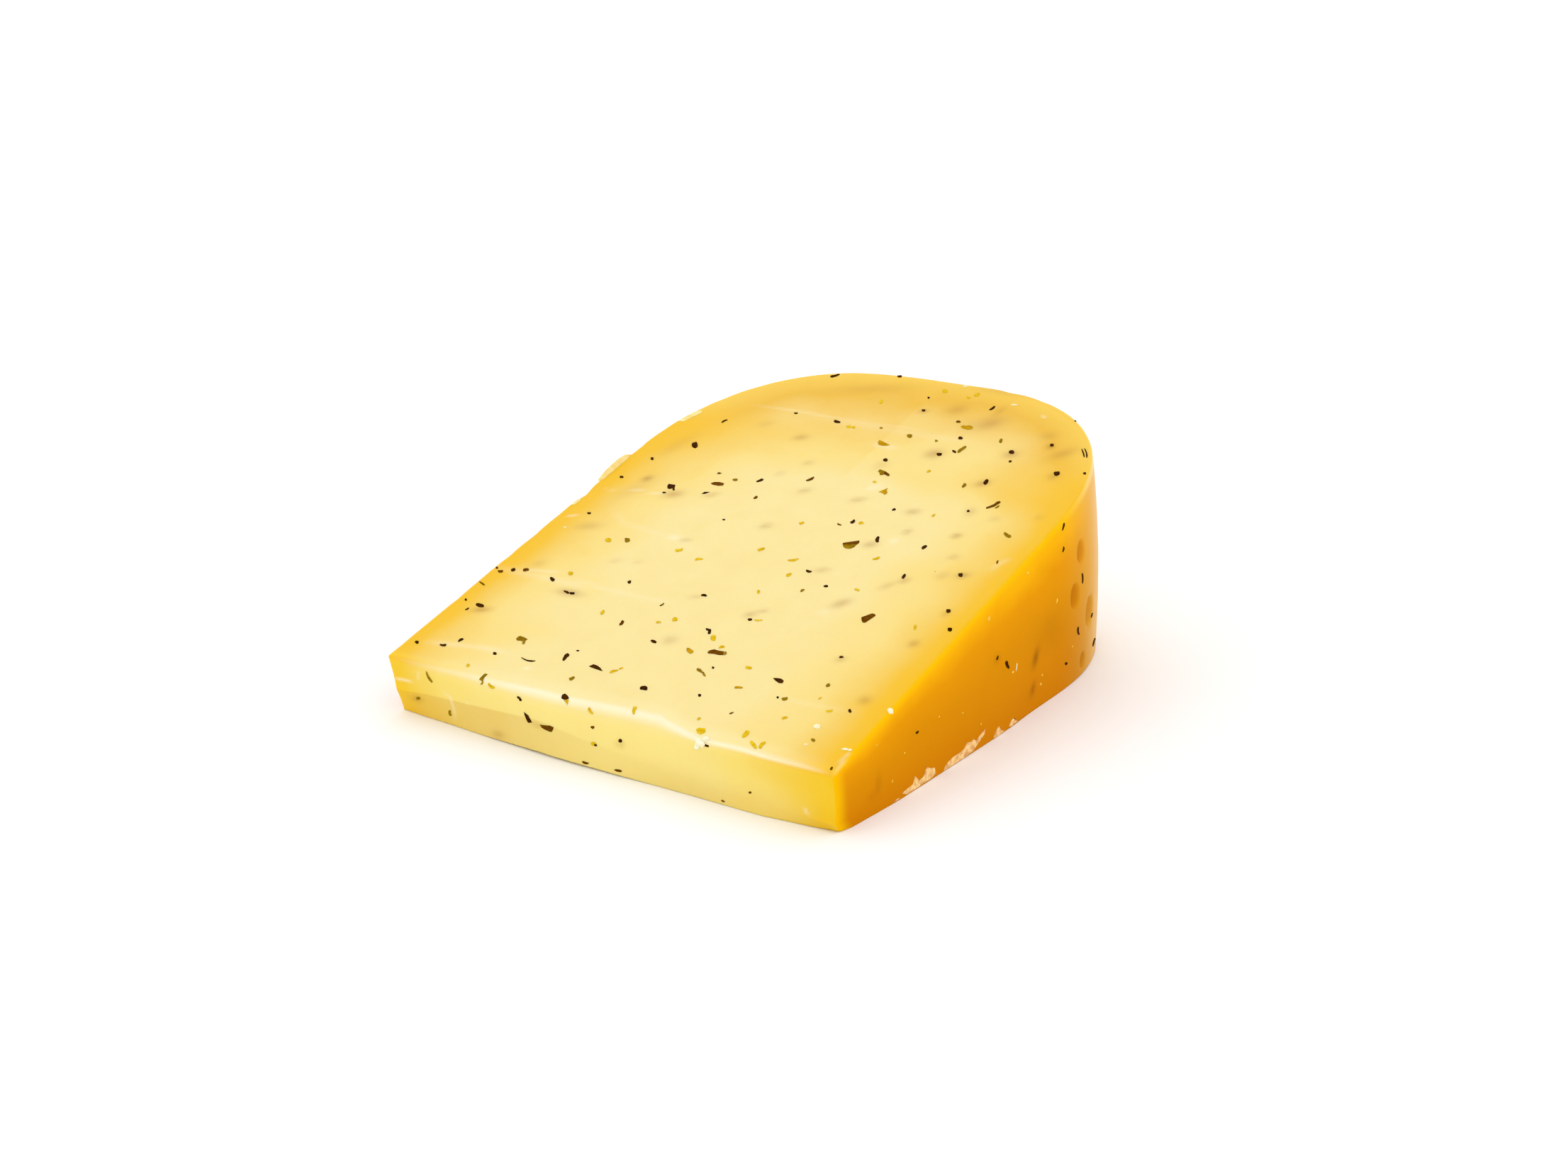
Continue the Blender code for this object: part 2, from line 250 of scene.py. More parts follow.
# Pale scrapes that the knife left, in the photograph's pixels
Stroke = namedtuple("Stroke", "strength breadth path")
SCRAPES = (
    (0.26, 4, ((1060, 571), (1120, 579), (1180, 590), (1240, 599), (1300, 606))),
    (0.14, 12, ((1150, 588), (1220, 600), (1290, 612), (1400, 628))),
    (0.35, 3, ((832, 687), (850, 690), (868, 691))),
    (0.32, 3, ((876, 689), (905, 692), (925, 696), (945, 699))),
    (0.16, 7, ((860, 715), (880, 738), (949, 759), (997, 783))),
    (0.60, 4, ((943, 1019), (952, 1024), (962, 1029), (974, 1037), (990, 1044))),
    (0.35, 3, ((1003, 1046), (1060, 1058), (1110, 1072), (1158, 1087))),
    (0.70, 8, ((944, 757), (958, 759))),
    (0.24, 6, ((803, 815), (850, 830), (912, 845), (960, 852))),
    (0.40, 4, ((785, 725), (800, 727), (815, 728))),
    (0.50, 5, ((764, 722), (780, 716), (793, 718))),
    (0.45, 4, ((750, 733), (768, 738), (790, 742))),
    (0.45, 5, ((803, 706), (812, 704), (820, 702))),
    (0.25, 10, ((640, 790), (700, 800), (770, 815), (830, 830))),
    (0.30, 6, ((690, 795), (740, 803), (790, 808))),
    (0.30, 9, ((600, 905), (640, 909), (690, 915), (720, 923))),
    (0.55, 9, ((1255, 764), (1268, 763))),
    (0.30, 10, ((1152, 865), (1170, 862))),
    (0.45, 10, ((1222, 690), (1245, 685))),
    (0.22, 7, ((1396, 805), (1410, 795), (1426, 788))),
    (0.40, 4, ((1470, 586), (1475, 590))),
    (0.30, 10, ((1230, 625), (1265, 633))),
    (0.30, 6, ((1380, 540), (1420, 552))),
    (0.70, 5, ((740, 944), (748, 942))),
    (0.55, 3, ((557, 957), (570, 959), (582, 962))),
    (0.35, 3, ((590, 946), (590, 960))),
    (0.50, 3, ((656, 991), (660, 994))),
    (0.40, 3, ((625, 975), (636, 985), (640, 1000), (642, 1018))),
    (0.45, 4, ((1134, 1139), (1140, 1150))),
    (0.12, 8, ((1100, 985), (1150, 995), (1210, 1005))),
)

# Thin pale edges of the nick in the right front corner, in the photograph's pixels
NICKS = (
    (0.45, 3, ((1174, 1094), (1184, 1083), (1196, 1070))),
    (0.35, 3, ((1181, 1079), (1192, 1068), (1201, 1061))),
)

# Dents in the rim: the middle, the length and the breadth in the photograph's pixels
RIM_DENTS = (
    (1525, 778, 32, 16), (1517, 841, 34, 14), (1537, 862, 38, 12), (1527, 931, 22, 8),
)

# Crumbs of paste: the middle and the size in the photograph's pixels
CRUMBS = (
    (1153, 1025, 10, 9), (987, 1048, 17, 14), (995, 1043, 12, 8), (983, 1054, 8, 7), (1256, 1003, 12, 10),
    (1192, 1057, 9, 5), (1199, 1058, 6, 4), (1431, 571, 9, 3), (1361, 545, 8, 3), (797, 744, 4, 4),
    (1434, 941, 3, 12), (1137, 1050, 6, 3),
)
RIND_CRUMBS = (
    (1429, 948, 5, 4), (1470, 952, 4, 4), (1491, 848, 3, 8), (1259, 1102, 3, 4), (1325, 1011, 3, 3),
    (1384, 1021, 3, 3), (1450, 808, 6, 4), (1395, 872, 5, 8), (1237, 1051, 4, 3), (1513, 912, 3, 3),
    (1358, 1006, 3, 3), (1276, 1062, 3, 3), (1468, 965, 5, 4), (1471, 591, 6, 3), (1319, 806, 3, 3),
)

# Torn flakes of rind that hang along the flank's foot, as outlines in the photograph's pixels
TORN_FLAKES = (
    ((1271, 1120), (1279, 1113), (1287, 1107), (1290, 1095), (1296, 1101), (1302, 1096), (1307, 1081),
     (1313, 1083), (1319, 1082), (1321, 1090), (1315, 1098), (1303, 1106), (1290, 1115), (1278, 1122)),
    ((1331, 1083), (1337, 1075), (1344, 1068), (1352, 1063), (1360, 1056), (1364, 1047), (1370, 1046),
     (1374, 1042), (1377, 1044), (1390, 1027), (1389, 1034), (1381, 1047), (1373, 1059), (1362, 1068),
     (1349, 1076), (1330, 1089)),
    ((1401, 1042), (1404, 1032), (1409, 1024), (1411, 1029), (1416, 1031), (1412, 1035), (1405, 1040)),
    ((1423, 1025), (1426, 1017), (1429, 1013), (1435, 1017), (1431, 1020), (1426, 1024)),
    ((1259, 1132), (1264, 1128), (1269, 1125), (1266, 1129)),
)

# Pale slivers where the edge of the paste was shaved, as outlines in the photograph's pixels
SHAVED_SLIVERS = (
    ((866, 664), (880, 652), (888, 645), (890, 640), (882, 641), (872, 647), (861, 657), (850, 668),
     (843, 677), (852, 676)),
    ((976, 589), (990, 583), (992, 578), (980, 581), (968, 587), (956, 594), (964, 595)),
    ((811, 712), (819, 706), (820, 703), (812, 708), (804, 713)),
)


def linear(text):
    """A colour written as six hexadecimal digits of sRGB, as three linear values."""
    values = [int(text[i:i + 2], 16) / 255.0 for i in (1, 3, 5)]
    return tuple(v / 12.92 if v <= 0.04045 else ((v + 0.055) / 1.055) ** 2.4 for v in values)


class WedgeSizes(PropertyGroup):
    """The wheel, the cuts and the roundings of the wedge."""

    wheel_thickness: FloatProperty(
        name="Wheel thickness", description="From one flat side of the wheel to the other",
        default=110.0 * MM, unit="LENGTH")
    wheel_radius: FloatProperty(
        name="Wheel radius", description="From the wheel's axis to the furthest point of its rim",
        default=WHEEL_RADIUS, unit="LENGTH")
    rim_start: FloatProperty(
        name="Rim start", description="Distance from the axis at which the flats begin to round off",
        default=129.9 * MM, unit="LENGTH")
    tip_radius: FloatProperty(
        name="Tip radius", description="Distance from the axis at which the tip was cut off",
        default=45.0 * MM, unit="LENGTH")
    wedge_angle: FloatProperty(
        name="Wedge angle", description="Angle between the two cuts through the axis",
        default=math.radians(17.0), subtype="ANGLE")
    radial_power: FloatProperty(
        name="Radial power", description="How full the rim's curve is along the radius", default=2.39)
    side_power: FloatProperty(
        name="Side power", description="How full the rim's curve is across the thickness", default=2.86)
    cut_rounding: FloatProperty(
        name="Cut edge rounding", description="Rounding where a cut meets the rind",
        default=0.45 * MM, unit="LENGTH")
    tip_rounding: FloatProperty(
        name="Tip edge rounding", description="Rounding of the tip's worn top edge",
        default=3.0 * MM, unit="LENGTH")
    corner_rounding: FloatProperty(
        name="Tip corner rounding", description="Rounding of the tip's upright corners",
        default=0.8 * MM, unit="LENGTH")


class CheeseColours(PropertyGroup):
    """The colours of the paste, the rind and the herbs."""

    paste: FloatVectorProperty(
        name="Paste", description="Creamy middle of the cut", subtype="COLOR", default=linear("#e9d693"))
    ripe_paste: FloatVectorProperty(
        name="Ripe paste", description="Yellower paste on the way to the rind", subtype="COLOR",
        default=linear("#e6c25c"))
    outer_paste: FloatVectorProperty(
        name="Outer paste", description="Golden paste near the rind", subtype="COLOR",
        default=linear("#e6b628"))
    last_paste: FloatVectorProperty(
        name="Last paste", description="Deep golden paste right at the rind", subtype="COLOR",
        default=linear("#e6b412"))
    rind_edge: FloatVectorProperty(
        name="Rind edge", description="Rind that light shines through at the cut", subtype="COLOR",
        default=linear("#f4bd00"))
    rind: FloatVectorProperty(
        name="Rind", description="Orange rind of the flanks", subtype="COLOR", default=linear("#e09300"))
    # Painted shade: the rind's colour low on the flanks, darker where less light reaches
    shaded_rind: FloatVectorProperty(
        name="Deep rind", description="Darker rind low on the flanks", subtype="COLOR",
        default=linear("#cc7d00"))
    # Partly the rim's own tan, and partly painted sheen from its wax
    rim_rind: FloatVectorProperty(
        name="Rim rind", description="Tan rind round the rim", subtype="COLOR", default=linear("#e2a52e"))
    dark_herb: FloatVectorProperty(
        name="Dark herb", description="Dried leaf, nearly black", subtype="COLOR",
        default=linear("#4a2600"))
    brown_herb: FloatVectorProperty(
        name="Brown herb", description="Dried stalk and leaf", subtype="COLOR", default=linear("#6f4400"))
    olive_herb: FloatVectorProperty(
        name="Olive herb", description="Leaf that kept some green", subtype="COLOR",
        default=linear("#9a7609"))
    ochre_herb: FloatVectorProperty(
        name="Ochre herb", description="Thin leaf that light shines through", subtype="COLOR",
        default=linear("#c2940c"))
    gold_herb: FloatVectorProperty(
        name="Gold herb", description="Leaf stained by the paste", subtype="COLOR",
        default=linear("#ddbb1c"))


class HerbSettings(PropertyGroup):
    """How the flecks of herb sit in the surface."""

    proud: FloatProperty(
        name="Proud of the cut", description="How far a fleck stands out", default=0.07 * MM, unit="LENGTH")
    sunk: FloatProperty(
        name="Sunk in the paste", description="How deep a fleck goes", default=0.30 * MM, unit="LENGTH")
    seed: IntProperty(name="Seed", description="Changes the outlines of the herbs", default=7)


class StageSettings(PropertyGroup):
    """The floor and the light."""

    floor: FloatVectorProperty(
        name="Floor", description="Plain pale floor", subtype="COLOR", default=linear("#f7f7f7"))
    sky_strength: FloatProperty(name="Sky strength", description="Even light from all round", default=1.18)
    key_strength: FloatProperty(
        name="Key strength", description="Soft light from the front left", default=0.15)
    key_size: FloatProperty(
        name="Key size", description="Angle that the soft light fills",
        default=math.radians(30.0), subtype="ANGLE")


def fill(tree, node, inputs):
    """Sets a node's inputs to values, or links them to sockets or to the first live output of nodes."""
    for key, value in inputs.items():
        if isinstance(value, bpy.types.Node):
            value = next(output for output in value.outputs if output.enabled)
        if isinstance(value, bpy.types.NodeSocket):
            tree.links.new(value, node.inputs[key])
        else:
            node.inputs[key].default_value = value


def add_node(tree, kind, settings=None, inputs=None):
    """Adds one node with its settings, and sets or links each of the given inputs."""
    node = tree.nodes.new(kind)
    for name, value in (settings or {}).items():
        setattr(node, name, value)
    fill(tree, node, inputs or {})
    return node


def per_mm(size):
    """The scale of a pattern whose cells are a number of millimetres across."""
    return 1.0 / (size * MM)


def smooth_step(low, high, value):
    """Runs smoothly from 0 to 1 as the value goes from low to high."""
    share = np.clip((value - low) / (high - low), 0.0, 1.0)
    return share * share * (3.0 - 2.0 * share)


def read_off(table, place):
    """A table's value at a place, in proportion between its rows."""
    places, values = zip(*table)
    return np.interp(place, places, values)


def lumps(points, size, seed):
    """Smooth random values from -1 to 1 at points in space, which change over about one size."""
    cells = 32
    table = np.random.default_rng(seed).uniform(-1.0, 1.0, (cells, cells, cells))
    scaled = points / np.asarray(size)
    whole = np.floor(scaled).astype(int)
    share = smooth_step(0.0, 1.0, scaled - whole)
    total = np.zeros(len(points))
    for corner in np.ndindex(2, 2, 2):
        weight = np.prod(np.where(corner, share, 1.0 - share), axis=1)
        index = (whole + corner) % cells
        total += weight * table[index[:, 0], index[:, 1], index[:, 2]]
    return total


def read_points(mesh):
    """The places of a mesh's points."""
    values = np.empty(len(mesh.vertices) * 3)
    mesh.vertices.foreach_get("co", values)
    return values.reshape(-1, 3)


def read_normals(mesh):
    """The directions in which a mesh's points face."""
    values = np.empty(len(mesh.vertices) * 3)
    mesh.vertices.foreach_get("normal", values)
    return values.reshape(-1, 3)


def write_points(mesh, points):
    """Moves a mesh's points."""
    mesh.vertices.foreach_set("co", np.ascontiguousarray(points).ravel())
    mesh.update()


def write_attribute(mesh, name, values):
    """Keeps one number for each point of a mesh, for its material to read."""
    attribute = mesh.attributes.get(name) or mesh.attributes.new(name, "FLOAT", "POINT")
    attribute.data.foreach_set("value", np.ascontiguousarray(values, dtype=np.float32))


def link(mesh, name):
    """A new object for a mesh, at the origin."""
    piece = bpy.data.objects.new(name, mesh)
    bpy.context.scene.collection.objects.link(piece)
    return piece


def keep_inside(mesh):
    """Holds a piece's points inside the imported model's box."""
    write_points(mesh, np.clip(read_points(mesh), np.array(CAD_LOW), np.array(CAD_HIGH)))


def give(piece):
    """Holds a finished piece inside the imported model's box, and lets it ride with the wedge."""
    keep_inside(piece.data)
    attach(piece, "root")


def camera_axes():
    """The camera's directions: to the right, up, and straight ahead."""
    ahead = Vector((-math.sin(CAMERA_AZIMUTH) * math.cos(CAMERA_DROP),
                    math.cos(CAMERA_AZIMUTH) * math.cos(CAMERA_DROP),
                    -math.sin(CAMERA_DROP)))
    level = Vector((math.cos(CAMERA_AZIMUTH), math.sin(CAMERA_AZIMUTH), 0.0))
    upright = level.cross(ahead)
    right = level * math.cos(CAMERA_ROLL) + upright * math.sin(CAMERA_ROLL)
    up = upright * math.cos(CAMERA_ROLL) - level * math.sin(CAMERA_ROLL)
    return right, up, ahead


def photo_ray(column, row):
    """The direction in which the camera sees a pixel of the photograph."""
    right, up, ahead = camera_axes()
    across = (column - PHOTO_WIDE / 2) / FOCAL_PIXELS
    down = (row - PHOTO_HIGH / 2) / FOCAL_PIXELS
    return (ahead + right * across - up * down).normalized()


def seen_at(surface, column, row):
    """The point of the surface that the camera sees at a pixel, and the direction that it faces."""
    place, normal, _, _ = surface.ray_cast(CAMERA_PLACE, photo_ray(column, row))
    if place is None:
        return None, None
    return place, normal


def on_plane(column, row, place, normal):
    """Where the camera's ray through a pixel meets the plane that touches the surface at a place."""
    ray = photo_ray(column, row)
    return CAMERA_PLACE + ray * ((place - CAMERA_PLACE).dot(normal) / ray.dot(normal))


def plain_mesh(piece, name):
    """The evaluated piece as a plain mesh of that name. The piece that it came from is removed."""
    depsgraph = bpy.context.evaluated_depsgraph_get()
    mesh = bpy.data.meshes.new_from_object(piece.evaluated_get(depsgraph), depsgraph=depsgraph)
    mesh.name = name
    bpy.data.objects.remove(piece, do_unlink=True)
    return mesh


def run_tree(tree, name, values):
    """Runs a tree on an empty piece, with its named inputs set, and returns the plain mesh it makes."""
    piece = link(bpy.data.meshes.new(name), name)
    modifier = piece.modifiers.new(tree.name, "NODES")
    modifier.node_group = tree
    for item in tree.interface.items_tree:
        if item.in_out == "INPUT" and item.name in values:
            modifier[item.identifier] = values[item.name]
    return plain_mesh(piece, name)


def name_inputs(tree, kinds):
    """Gives a tree its one output and its named inputs, kind by kind, and returns the inputs."""
    tree.interface.new_socket("Geometry", in_out="OUTPUT", socket_type="NodeSocketGeometry")
    for kind, names in kinds.items():
        for name in names:
            tree.interface.new_socket(name, in_out="INPUT", socket_type="NodeSocket" + kind)
    return add_node(tree, "NodeGroupInput").outputs


def wheel_slice_tree():
    """A tree that bends a finely divided box into a slice of a wheel, and keeps each point's place."""
    tree = bpy.data.node_groups.new("slice of a wheel", "GeometryNodeTree")
    given = name_inputs(tree, {
        "Int": ("Cells Across", "Cells Along", "Cells Up"),
        "Float": ("Axis", "Half Thickness", "Wheel Radius", "Rim Start", "Tip Radius", "Wedge Angle",
                  "Radial Power", "Side Power", "Corner Radius", "Corner Half Width", "Edge Closeness"),
        "Material": ("Paste", "Rind")})

    box = add_node(tree, "GeometryNodeMeshCube", inputs={
        "Vertices X": given["Cells Across"], "Vertices Y": given["Cells Along"],
        "Vertices Z": given["Cells Up"]})
    normal = add_node(tree, "GeometryNodeInputNormal")
    facing = add_node(tree, "ShaderNodeSeparateXYZ", inputs={0: normal})
    sideways = add_node(tree, "ShaderNodeMath", {"operation": "ABSOLUTE"}, {0: facing.outputs["X"]})
    outwards = add_node(tree, "ShaderNodeMath", {"operation": "MAXIMUM"},
                        {0: sideways, 1: facing.outputs["Y"]})
    is_rind = add_node(tree, "ShaderNodeMath", {"operation": "GREATER_THAN"}, {0: outwards, 1: 0.5})
    marked = add_node(tree, "GeometryNodeStoreNamedAttribute", {"data_type": "FLOAT", "domain": "FACE"},
                      {"Geometry": box, "Name": "is_rind", "Value": is_rind})

    # Each point's place in the box, from 0 to 1 each way, with the points drawn together towards the edges
    position = add_node(tree, "GeometryNodeInputPosition")
    even = add_node(tree, "ShaderNodeVectorMath", {"operation": "ADD"}, {0: position, 1: (0.5, 0.5, 0.5)})
    turned = add_node(tree, "ShaderNodeVectorMath", {"operation": "SCALE"},
                      {0: even, "Scale": 2.0 * math.pi})
    wave = add_node(tree, "ShaderNodeVectorMath", {"operation": "SINE"}, {0: turned})
    reach = add_node(tree, "ShaderNodeMath", {"operation": "DIVIDE"},
                     {0: given["Edge Closeness"], 1: 2.0 * math.pi})
    pull = add_node(tree, "ShaderNodeVectorMath", {"operation": "SCALE"}, {0: wave, "Scale": reach})
    place = add_node(tree, "ShaderNodeVectorMath", {"operation": "SUBTRACT"}, {0: even, 1: pull})
    kept = add_node(tree, "GeometryNodeStoreNamedAttribute",
                    {"data_type": "FLOAT_VECTOR", "domain": "POINT"},
                    {"Geometry": marked, "Name": "place", "Value": place})
    stored = add_node(tree, "GeometryNodeInputNamedAttribute",
                      {"data_type": "FLOAT_VECTOR"}, {"Name": "place"})
    parts = add_node(tree, "ShaderNodeSeparateXYZ", inputs={0: stored}).outputs
    side = add_node(tree, "ShaderNodeMapRange", inputs={0: parts["X"], 3: -1.0, 4: 1.0})

    # The flank's own radius at this place, and the wheel's half thickness there
    flank = add_node(tree, "ShaderNodeMapRange", inputs={
        0: parts["Y"], 3: given["Tip Radius"], 4: given["Corner Radius"]})
    share = add_node(tree, "ShaderNodeMapRange", inputs={
        0: flank, 1: given["Rim Start"], 2: given["Wheel Radius"]})
    drop = add_node(tree, "ShaderNodeMath", {"operation": "POWER"}, {0: share, 1: given["Radial Power"]})
    rest = add_node(tree, "ShaderNodeMath", {"operation": "SUBTRACT"}, {0: 1.0, 1: drop})
    root = add_node(tree, "ShaderNodeMath", {"operation": "DIVIDE"}, {0: 1.0, 1: given["Side Power"]})
    width = add_node(tree, "ShaderNodeMath", {"operation": "POWER"}, {0: rest, 1: root})
    half = add_node(tree, "ShaderNodeMath", {"operation": "MULTIPLY"},
                    {0: width, 1: given["Half Thickness"]})
    x = add_node(tree, "ShaderNodeMath", {"operation": "MULTIPLY"}, {0: half, 1: side})

    # How far the rim reaches at this place across the wheel
    back = add_node(tree, "ShaderNodeMath", {"operation": "MULTIPLY"},
                    {0: side, 1: given["Corner Half Width"]})
    size = add_node(tree, "ShaderNodeMath", {"operation": "ABSOLUTE"}, {0: back})
    ratio = add_node(tree, "ShaderNodeMath", {"operation": "DIVIDE"}, {0: size, 1: given["Half Thickness"]})
    fall = add_node(tree, "ShaderNodeMath", {"operation": "POWER"}, {0: ratio, 1: given["Side Power"]})
    left = add_node(tree, "ShaderNodeMath", {"operation": "SUBTRACT"}, {0: 1.0, 1: fall})
    inverse = add_node(tree, "ShaderNodeMath", {"operation": "DIVIDE"}, {0: 1.0, 1: given["Radial Power"]})
    depth = add_node(tree, "ShaderNodeMath", {"operation": "POWER"}, {0: left, 1: inverse})
    reached = add_node(tree, "ShaderNodeMapRange", inputs={
        0: depth, 3: given["Rim Start"], 4: given["Wheel Radius"]})
    radius = add_node(tree, "ShaderNodeMapRange", inputs={
        0: parts["Y"], 3: given["Tip Radius"], 4: reached})

    # Up the angle between the two cuts
    angle = add_node(tree, "ShaderNodeMath", {"operation": "MULTIPLY"},
                     {0: parts["Z"], 1: given["Wedge Angle"]})
    cosine = add_node(tree, "ShaderNodeMath", {"operation": "COSINE"}, {0: angle})
    sine = add_node(tree, "ShaderNodeMath", {"operation": "SINE"}, {0: angle})
    y = add_node(tree, "ShaderNodeMath", {"operation": "MULTIPLY_ADD"},
                 {0: radius, 1: cosine, 2: given["Axis"]})
    z = add_node(tree, "ShaderNodeMath", {"operation": "MULTIPLY"}, {0: radius, 1: sine})
    point = add_node(tree, "ShaderNodeCombineXYZ", inputs={0: x, 1: y, 2: z})
    bent = add_node(tree, "GeometryNodeSetPosition", inputs={"Geometry": kept, "Position": point})
    smooth = add_node(tree, "GeometryNodeSetShadeSmooth", inputs={0: bent})
    realized = add_node(tree, "GeometryNodeRealizeInstances", inputs={0: smooth})
    paste = add_node(tree, "GeometryNodeSetMaterial", inputs={
        "Geometry": realized, "Material": given["Paste"]})
    chosen = add_node(tree, "GeometryNodeInputNamedAttribute", {"data_type": "FLOAT"}, {"Name": "is_rind"})
    rind = add_node(tree, "GeometryNodeSetMaterial", inputs={
        "Geometry": paste, "Selection": chosen, "Material": given["Rind"]})
    add_node(tree, "NodeGroupOutput", inputs={0: rind})
    return tree


def half_thickness(radius, sizes):
    """Half the wheel's thickness at a distance from its axis."""
    share = max(0.0, (radius - sizes.rim_start) / (sizes.wheel_radius - sizes.rim_start))
    return 0.5 * sizes.wheel_thickness * (1.0 - share ** sizes.radial_power) ** (1.0 / sizes.side_power)


def tip_face(across, height):
    """How far the tip's face lies from the wheel's axis, at places across it and shares of its height."""
    bow = 4.0 * across * (1.0 - across)
    crease = read_off(CREASE_HEIGHTS, across)
    base = read_off(BASE_RADII, across) * MM
    middle = (44.6 - 1.3 * bow) * MM
    top = (44.2 + read_off(TOP_SETBACKS, across)) * MM
    lower = base + (middle - base) * np.clip(height / crease, 0.0, 1.0)
    rise = np.clip((height - crease) / (1.0 - crease), 0.0, 1.0)
    return lower + (top - middle) * rise ** 2.0


# What shape_wedge measures at each point: its place across the wedge and up it, from 0 to 1, its distance
# from the wheel's axis, how far round the rim it lies, from 0 to 1, the left flank's bulge in mm, the width
# of the tip's worn edge, and how deep it lies behind the flanks and the rim, the tip's face, the top and
# the base
Measured = namedtuple("Measured", (
    "across", "height", "radius", "rim", "bulge", "worn", "from_side", "from_tip", "from_top", "from_base"))


def shape_wedge(mesh, sizes):
    """Gives the slice its tip's face, its worn roundings and its swelling flats, and measures it."""
    points = read_points(mesh)
    place = np.empty(len(points) * 3)
    mesh.attributes["place"].data.foreach_get("vector", place)
    across, _, height = place.reshape(-1, 3).T
    x = points[:, 0]
    radius = np.hypot(points[:, 1] - AXIS_Y, points[:, 2])
    half = 0.5 * sizes.wheel_thickness
    rim_depth = sizes.wheel_radius - sizes.rim_start

    tip_reach = 9.0 * MM
    near_tip = np.exp(-((radius - sizes.tip_radius) / tip_reach) ** 2)
    radius = radius + (tip_face(across, height) - sizes.tip_radius) * near_tip

    # How deep each point lies behind the wheel's outside, and which way that outside faces
    share = np.clip((radius - sizes.rim_start) / rim_depth, 0.0, 1.0)
    level = (np.abs(x) / half) ** sizes.side_power + share ** sizes.radial_power
    slope_x = sizes.side_power * (np.abs(x) / half) ** (sizes.side_power - 1.0) / half * np.sign(x)
    slope_r = sizes.radial_power * share ** (sizes.radial_power - 1.0) / rim_depth
    slope = np.maximum(np.hypot(slope_x, slope_r), 1e-3)
    inside = half * (1.0 - share ** sizes.radial_power) ** (1.0 / sizes.side_power) - np.abs(x)
    sideways = np.clip(np.abs(x) / half, 0.0, 1.0)
    reached = (1.0 - sideways ** sizes.side_power) ** (1.0 / sizes.radial_power)
    behind = sizes.rim_start + reached * rim_depth - radius
    from_side = np.maximum(np.minimum(np.minimum((1.0 - level) / slope, inside), behind), 0.0)
    from_tip = np.maximum(radius - tip_face(across, height), 0.0)
    from_top = (1.0 - height) * sizes.wedge_angle * radius
    from_base = height * sizes.wedge_angle * radius

    # Each edge gets its own rounding, and the widest one wins where edges meet
    worn = sizes.tip_rounding * read_off(EDGE_WEAR, across)
    tip_edge = 1.0 - smooth_step(4.0 * MM, 9.0 * MM, np.maximum(from_tip, from_top))
    corner = 1.0 - smooth_step(2.0 * MM, 5.0 * MM, np.maximum(from_tip, from_side))
    corner = np.where(across < 0.5, 0.0, corner)
    rounding = sizes.cut_rounding + tip_edge * (worn - sizes.cut_rounding)
    corner_rounding = sizes.cut_rounding + corner * (sizes.corner_rounding - sizes.cut_rounding)
    rounding = np.maximum(rounding, corner_rounding)
    foot = 0.35 + 0.45 * (1.0 - smooth_step(0.0, 4.0 * MM, from_tip))
    rounding = rounding * (foot + (1.0 - foot) * smooth_step(0.3 * MM, 2.5 * MM, from_base))
    reach = [np.maximum(rounding - depth, 0.0) for depth in (from_side, from_tip, from_top, from_base)]
    total = np.maximum(np.sqrt(sum(r * r for r in reach)), 1e-9)
    shift = np.maximum(1.0 - rounding / total, 0.0)
    x = x - shift * reach[0] * slope_x / slope
    radius = radius - shift * reach[0] * slope_r / slope + shift * reach[1]
    height = height + shift * (reach[3] - reach[2]) / (sizes.wedge_angle * radius)

    # The flats aren't quite flat: the right one swells at its foot, the left one at its top
    side = 2.0 * across - 1.0
    left = read_off(LEFT_TOP_BULGES, radius / MM) * (0.3 + 0.7 * smooth_step(0.2, 1.0, height))
    right = read_off(RIGHT_FOOT_BULGES, radius / MM) * (1.0 - smooth_step(0.0, 0.6, height))
    x = x + side * np.abs(side) * np.where(side > 0.0, right, left) * MM

    angle = sizes.wedge_angle * height
    write_points(mesh, np.stack([x, AXIS_Y + radius * np.cos(angle), radius * np.sin(angle)], axis=1))
    return Measured(across, height, radius, share, left, worn, from_side, from_tip, from_top, from_base)


